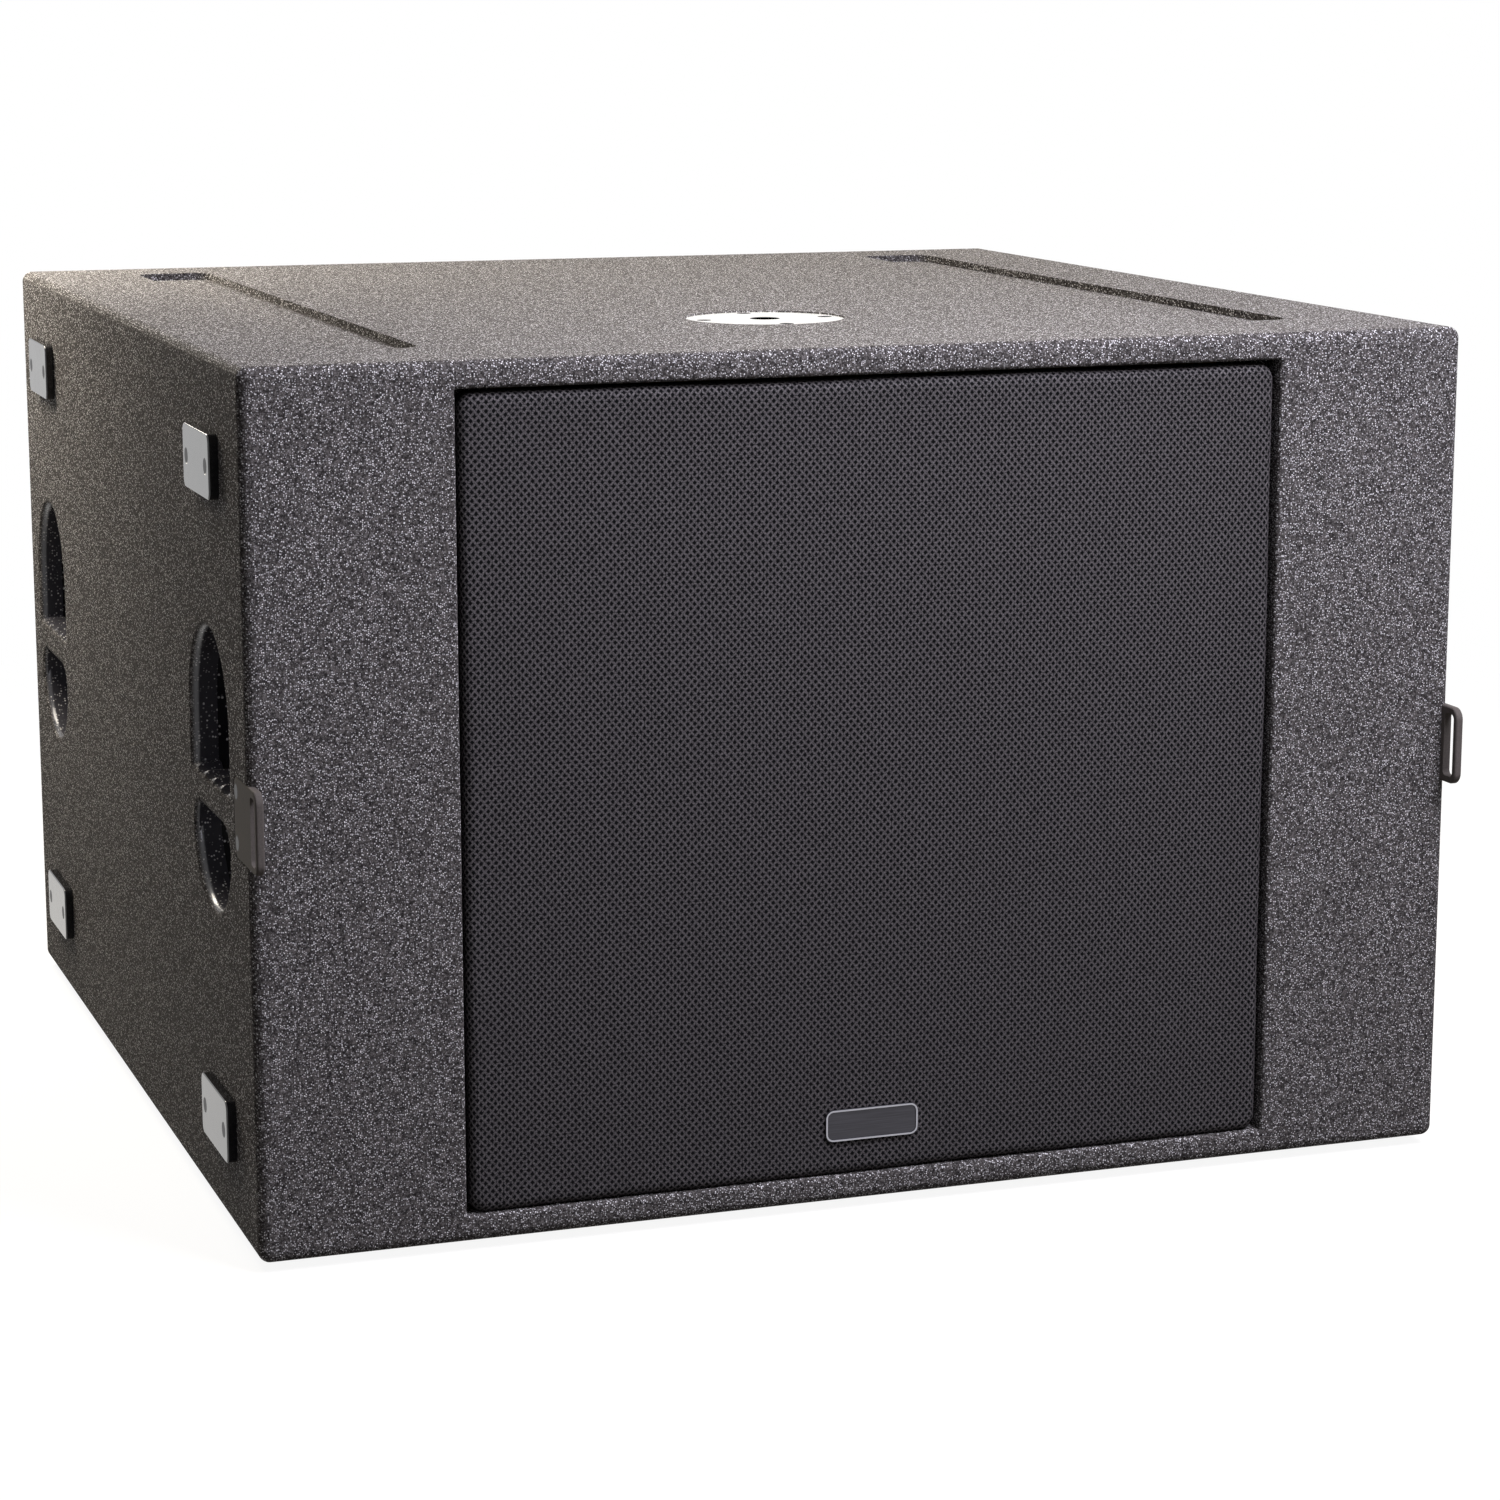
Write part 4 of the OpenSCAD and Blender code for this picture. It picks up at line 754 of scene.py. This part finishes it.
class CABINET_OT_finish_inside(bpy.types.Operator):
    """Finishes the bare boards and the woofers"""

    bl_idname = "cabinet.finish_inside"
    bl_label = "Finish Inside"

    def birch(self, look):
        # Rotary-cut birch: pale, with long soft veins.
        material, tree, shader, spot = new_material("bare_birch_plywood", Roughness=0.65)
        across, along = 1.0 / look.vein_width, 1.0 / look.vein_length
        stretch = add_node(
            tree, "ShaderNodeMapping", inputs={"Vector": spot, "Scale": (across, across, along)},
        )
        vein = add_node(
            tree, "ShaderNodeTexNoise",
            inputs={
                "Vector": stretch.outputs["Vector"], "Scale": 1.0, "Detail": 5.0,
                "Distortion": 0.6,
            },
        ).outputs["Fac"]
        wood = add_node(
            tree, "ShaderNodeValToRGB", inputs={"Fac": vein},
            stops=[
                (0.3, shade(look.plywood, 0.7)), (0.55, look.plywood),
                (0.75, shade(look.plywood, 1.12)),
            ],
        ).outputs["Color"]
        tree.links.new(wood, shader.inputs["Base Color"])
        relief = add_node(
            tree, "ShaderNodeBump",
            inputs={"Height": vein, "Strength": 0.2, "Distance": 0.2 * MM},
        )
        tree.links.new(relief.outputs["Normal"], shader.inputs["Normal"])
        return material

    def grained(self, name, rgba, roughness, grain, contrast, strength, metallic=0.0):
        # Pressed, cast or wound stuff: an even colour broken up by its own grain, which is drawn
        # coarse enough to show.
        material, tree, shader, spot = new_material(name, Roughness=roughness, Metallic=metallic)
        speck = add_node(
            tree, "ShaderNodeTexNoise",
            inputs={"Vector": spot, "Scale": 1.0 / grain, "Detail": 4.0, "Roughness": 0.7},
        ).outputs["Fac"]
        tone = add_node(
            tree, "ShaderNodeValToRGB", inputs={"Fac": speck},
            stops=[(0.35, shade(rgba, 1.0 - contrast)), (0.65, shade(rgba, 1.0 + contrast))],
        ).outputs["Color"]
        tree.links.new(tone, shader.inputs["Base Color"])
        relief = add_node(
            tree, "ShaderNodeBump",
            inputs={"Height": speck, "Strength": strength, "Distance": 0.2 * grain},
        )
        tree.links.new(relief.outputs["Normal"], shader.inputs["Normal"])
        return material

    def execute(self, context):
        look = context.scene.cabinet_inside
        dress(BARE_BOARDS, self.birch(look))
        # Each row: nodes, material, colour, roughness, grain, contrast, height of relief, metallic.
        for nodes, *finish in (
            (["woofer_frame"], "coated_cast_aluminium", look.casting, 0.5, 1.5 * MM, 0.12, 0.3),
            (["woofer_gasket"], "cork", look.cork, 0.9, 2.0 * MM, 0.4, 0.5),
            (["magnet"], "ferrite", look.ferrite, 0.75, 1.0 * MM, 0.15, 0.4),
            (["spider"], "resin_treated_cloth", look.amber, 0.85, 0.8 * MM, 0.25, 0.5),
            (["surround"], "treated_cloth", look.cloth, 0.7, 0.8 * MM, 0.2, 0.5),
            (["voice_coil"], "copper_winding", look.copper, 0.35, 0.5 * MM, 0.1, 0.3, 1.0),
            (["cone", "dust_cap"], "pressed_paper", look.paper, 0.85, 2.5 * MM, 0.25, 0.5),
        ):
            dress(each_side(*nodes), self.grained(*finish))
        return {"FINISHED"}


class CABINET_OT_flex_woofers(bpy.types.Operator):
    """Cuts the surrounds and spiders into segments, turned copies of one cut round a spoke"""

    bl_idname = "cabinet.flex_woofers"
    bl_label = "Flex Woofers"

    def ring_centre(self, mesh, *ways):
        """The middle of a ring, from its reach along three ways that are square to each other."""
        centre = Vector()
        for way in ways:
            reach = [vertex.co.dot(way) for vertex in mesh.vertices]
            centre += way * (min(reach) + max(reach)) / 2
        return centre

    def cut_segment(self, node, centre, axis, spoke, half, crease):
        """A copy of a ring, cut down to what lies within half a segment's angle of a spoke."""
        bpy.ops.object.select_all(action="DESELECT")
        segment = bpy.data.objects.new(f"{node.name}_segment", node.data.copy())
        bpy.context.collection.objects.link(segment)
        bpy.context.view_layer.objects.active = segment
        segment.select_set(True)
        bpy.ops.mesh.customdata_custom_splitnormals_clear()
        bpy.ops.object.mode_set(mode="EDIT")
        bpy.ops.mesh.select_all(action="SELECT")
        bpy.ops.mesh.remove_doubles(threshold=TINY)
        for way in (1, -1):
            edge = Matrix.Rotation(way * half, 3, axis) @ spoke
            bpy.ops.mesh.select_all(action="SELECT")
            bpy.ops.mesh.bisect(
                plane_co=centre, plane_no=axis.cross(edge) * way, use_fill=True, clear_outer=True,
            )
        bpy.ops.object.mode_set(mode="OBJECT")
        bpy.ops.object.shade_smooth_by_angle(angle=crease)
        return segment

    def execute(self, context):
        flex = context.scene.cabinet_flex
        step = 2 * math.pi / flex.segments
        half = step / 2
        for joint in frame["joints"]:
            side = joint["child"].split("_")[0]
            axis = Vector(joint["axis"]).normalized()
            across = Vector((0.0, 0.0, 1.0)).cross(axis).normalized()
            for ring, rim, neck, slot in (
                ("surround", flex.surround_rim, flex.surround_neck, "treated_black_cloth"),
                ("spider", flex.spider_rim, flex.spider_neck, "resin_treated_cloth"),
            ):
                node = frame["nodes"][f"{side}_{ring}"]
                centre = self.ring_centre(node.data, axis, across, axis.cross(across))
                model = self.cut_segment(node, centre, axis, across, half, flex.crease)
                for number in range(flex.segments):
                    spin = Matrix.Rotation(number * step, 4, axis)
                    mesh = model.data.copy()
                    mesh.transform(Matrix.Translation(centre) @ spin @ Matrix.Translation(-centre))
                    piece = bpy.data.objects.new(f"{node.name}_segment_{number + 1:02d}", mesh)
                    context.collection.objects.link(piece)
                    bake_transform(piece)
                    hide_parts(node.name)
                bpy.data.objects.remove(model)
        return {"FINISHED"}


class CABINET_OT_set_stage(bpy.types.Operator):
    """Sets the floor, the light and the camera"""

    bl_idname = "cabinet.set_stage"
    bl_label = "Set Stage"

    def background_ray(self, tree):
        """One where a ray shows the background: to the camera, or in a reflection or glass."""
        path = add_node(tree, "ShaderNodeLightPath")
        shown = path.outputs["Is Camera Ray"]
        for other in ("Is Glossy Ray", "Is Transmission Ray"):
            shown = add_node(
                tree, "ShaderNodeMath", {"operation": "MAXIMUM"},
                {0: shown, 1: path.outputs[other]},
            ).outputs[0]
        return shown

    def studio_paper(self, look):
        # Seamless paper: it takes the cabinet's shadow, and runs out into the white behind.
        paper = bpy.data.materials.new("studio_paper")
        paper.use_nodes = True
        tree = paper.node_tree
        tree.nodes.clear()
        shown = self.background_ray(tree)
        matt = add_node(tree, "ShaderNodeBsdfDiffuse", inputs={"Color": look.floor})
        lift = add_node(
            tree, "ShaderNodeMath", {"operation": "MULTIPLY"}, {0: shown, 1: look.glow},
        )
        glow = add_node(tree, "ShaderNodeEmission", inputs={"Strength": lift.outputs[0]})
        near = add_node(
            tree, "ShaderNodeAddShader", inputs={0: matt.outputs[0], 1: glow.outputs[0]},
        )
        white = add_node(tree, "ShaderNodeEmission", inputs={"Strength": 1.0})
        spot = add_node(tree, "ShaderNodeTexCoord").outputs["Object"]
        reach = add_node(tree, "ShaderNodeVectorMath", {"operation": "LENGTH"}, {0: spot})
        fade = add_node(
            tree, "ShaderNodeMapRange", {"interpolation_type": "SMOOTHSTEP"},
            {
                "Value": reach.outputs["Value"], "From Min": look.white_from,
                "From Max": look.white_full,
            },
        )
        far = add_node(
            tree, "ShaderNodeMath", {"operation": "MULTIPLY"},
            {0: shown, 1: fade.outputs["Result"]},
        )
        both = add_node(
            tree, "ShaderNodeMixShader",
            inputs={"Fac": far.outputs[0], 1: near.outputs[0], 2: white.outputs[0]},
        )
        add_node(tree, "ShaderNodeOutputMaterial", inputs={"Surface": both.outputs[0]})
        return paper

    def lay_floor(self, context, look):
        """A wide sheet of paper under the cabinet."""
        bpy.ops.object.select_all(action="DESELECT")
        bpy.ops.mesh.primitive_plane_add(size=look.floor_side, location=(0.0, 0.0, CAD_LOW.z))
        floor = context.object
        floor.name = "floor"
        floor.data.materials.append(self.studio_paper(look))

    def fill_room(self, context, look):
        """An even dim light, with white where the background shows."""
        world = bpy.data.worlds.new("studio")
        context.scene.world = world
        world.use_nodes = True
        tree = world.node_tree
        tree.nodes.clear()
        shown = self.background_ray(tree)
        light = shade(look.fill_tint, look.fill)
        both = add_node(
            tree, "ShaderNodeMix", {"data_type": "RGBA"},
            {"Factor": shown, UNDER: light, OVER: WHITE},
        ).outputs[MIXED]
        sky = add_node(tree, "ShaderNodeBackground", inputs={"Color": both})
        add_node(tree, "ShaderNodeOutputWorld", inputs={"Surface": sky.outputs[0]})

    def hang_lamps(self, context, look):
        """Four square soft boxes, each aimed at the face that it lights."""
        front = Vector((0.0, CAD_LOW.y, (CAD_LOW.z + CAD_HIGH.z) / 2))
        top = Vector((0.0, 0.0, CAD_HIGH.z))
        side = Vector((CAD_LOW.x, 0.0, front.z))
        for name, aim, tint, size in (
            ("front", front, look.front_tint, look.box_side),
            ("rear", top, look.rear_tint, look.box_side),
            ("corner", side, look.rear_tint, look.corner_side),
            ("eye", side, look.front_tint, look.eye_side),
        ):
            stand = Vector(getattr(look, f"{name}_place"))
            bpy.ops.object.light_add(type="AREA", location=stand)
            lamp = context.object
            lamp.name = f"{name}_light"
            lamp.data.size = size
            lamp.data.energy = getattr(look, f"{name}_power")
            lamp.data.color = tint[:3]
            lamp.rotation_euler = (aim - stand).to_track_quat("-Z", "Y").to_euler()

    def set_camera(self, context, look):
        """The camera where the photograph was taken from."""
        bpy.ops.object.camera_add(location=look.camera)
        camera = context.object
        camera.name = "photo_view"
        camera.data.sensor_width = 36.0
        camera.data.lens = look.lens
        camera.data.clip_end = 100.0
        away = Vector((
            math.sin(look.azimuth) * math.cos(look.elevation),
            math.cos(look.azimuth) * math.cos(look.elevation),
            -math.sin(look.elevation),
        ))
        camera.rotation_euler = away.to_track_quat("-Z", "Y").to_euler()
        context.scene.camera = camera

    def execute(self, context):
        look = context.scene.cabinet_stage
        self.lay_floor(context, look)
        self.fill_room(context, look)
        self.hang_lamps(context, look)
        self.set_camera(context, look)
        context.scene.view_settings.view_transform = "Standard"
        return {"FINISHED"}


class CABINET_PT_finishes(bpy.types.Panel):
    """Lists the cabinet's finishing steps and what can be changed"""

    bl_label = "Subwoofer Cabinet"
    bl_idname = "CABINET_PT_finishes"
    bl_space_type = "VIEW_3D"
    bl_region_type = "UI"
    bl_category = "Cabinet"

    def draw(self, context):
        for operator, name, _ in STEPS:
            box = self.layout.box()
            box.operator(operator.bl_idname)
            settings = getattr(context.scene, name)
            for key in settings.bl_rna.properties.keys():
                if key not in ("rna_type", "name"):
                    box.prop(settings, key)


STEPS = [
    (CABINET_OT_set_stage, "cabinet_stage", StageSettings),
    (CABINET_OT_paint_boards, "cabinet_paint", PaintSettings),
    (CABINET_OT_cover_grille, "cabinet_cloth", ClothSettings),
    (CABINET_OT_finish_fittings, "cabinet_fittings", FittingSettings),
    (CABINET_OT_finish_inside, "cabinet_inside", InsideSettings),
    (CABINET_OT_flex_woofers, "cabinet_flex", FlexSettings),
]


def register():
    """Registers the settings, the operators and the panel."""
    for operator, name, settings in STEPS:
        bpy.utils.register_class(settings)
        bpy.utils.register_class(operator)
        setattr(bpy.types.Scene, name, PointerProperty(type=settings))
    bpy.utils.register_class(CABINET_PT_finishes)


def unregister():
    """Takes away all that register adds."""
    bpy.utils.unregister_class(CABINET_PT_finishes)
    for operator, name, settings in reversed(STEPS):
        delattr(bpy.types.Scene, name)
        bpy.utils.unregister_class(operator)
        bpy.utils.unregister_class(settings)


def main():
    """Finishes the cabinet step by step."""
    register()
    bpy.ops.cabinet.set_stage()
    bpy.ops.cabinet.paint_boards()
    bpy.ops.cabinet.cover_grille()
    bpy.ops.cabinet.finish_fittings()
    bpy.ops.cabinet.finish_inside()
    bpy.ops.cabinet.flex_woofers()


if __name__ == "__main__":
    main()
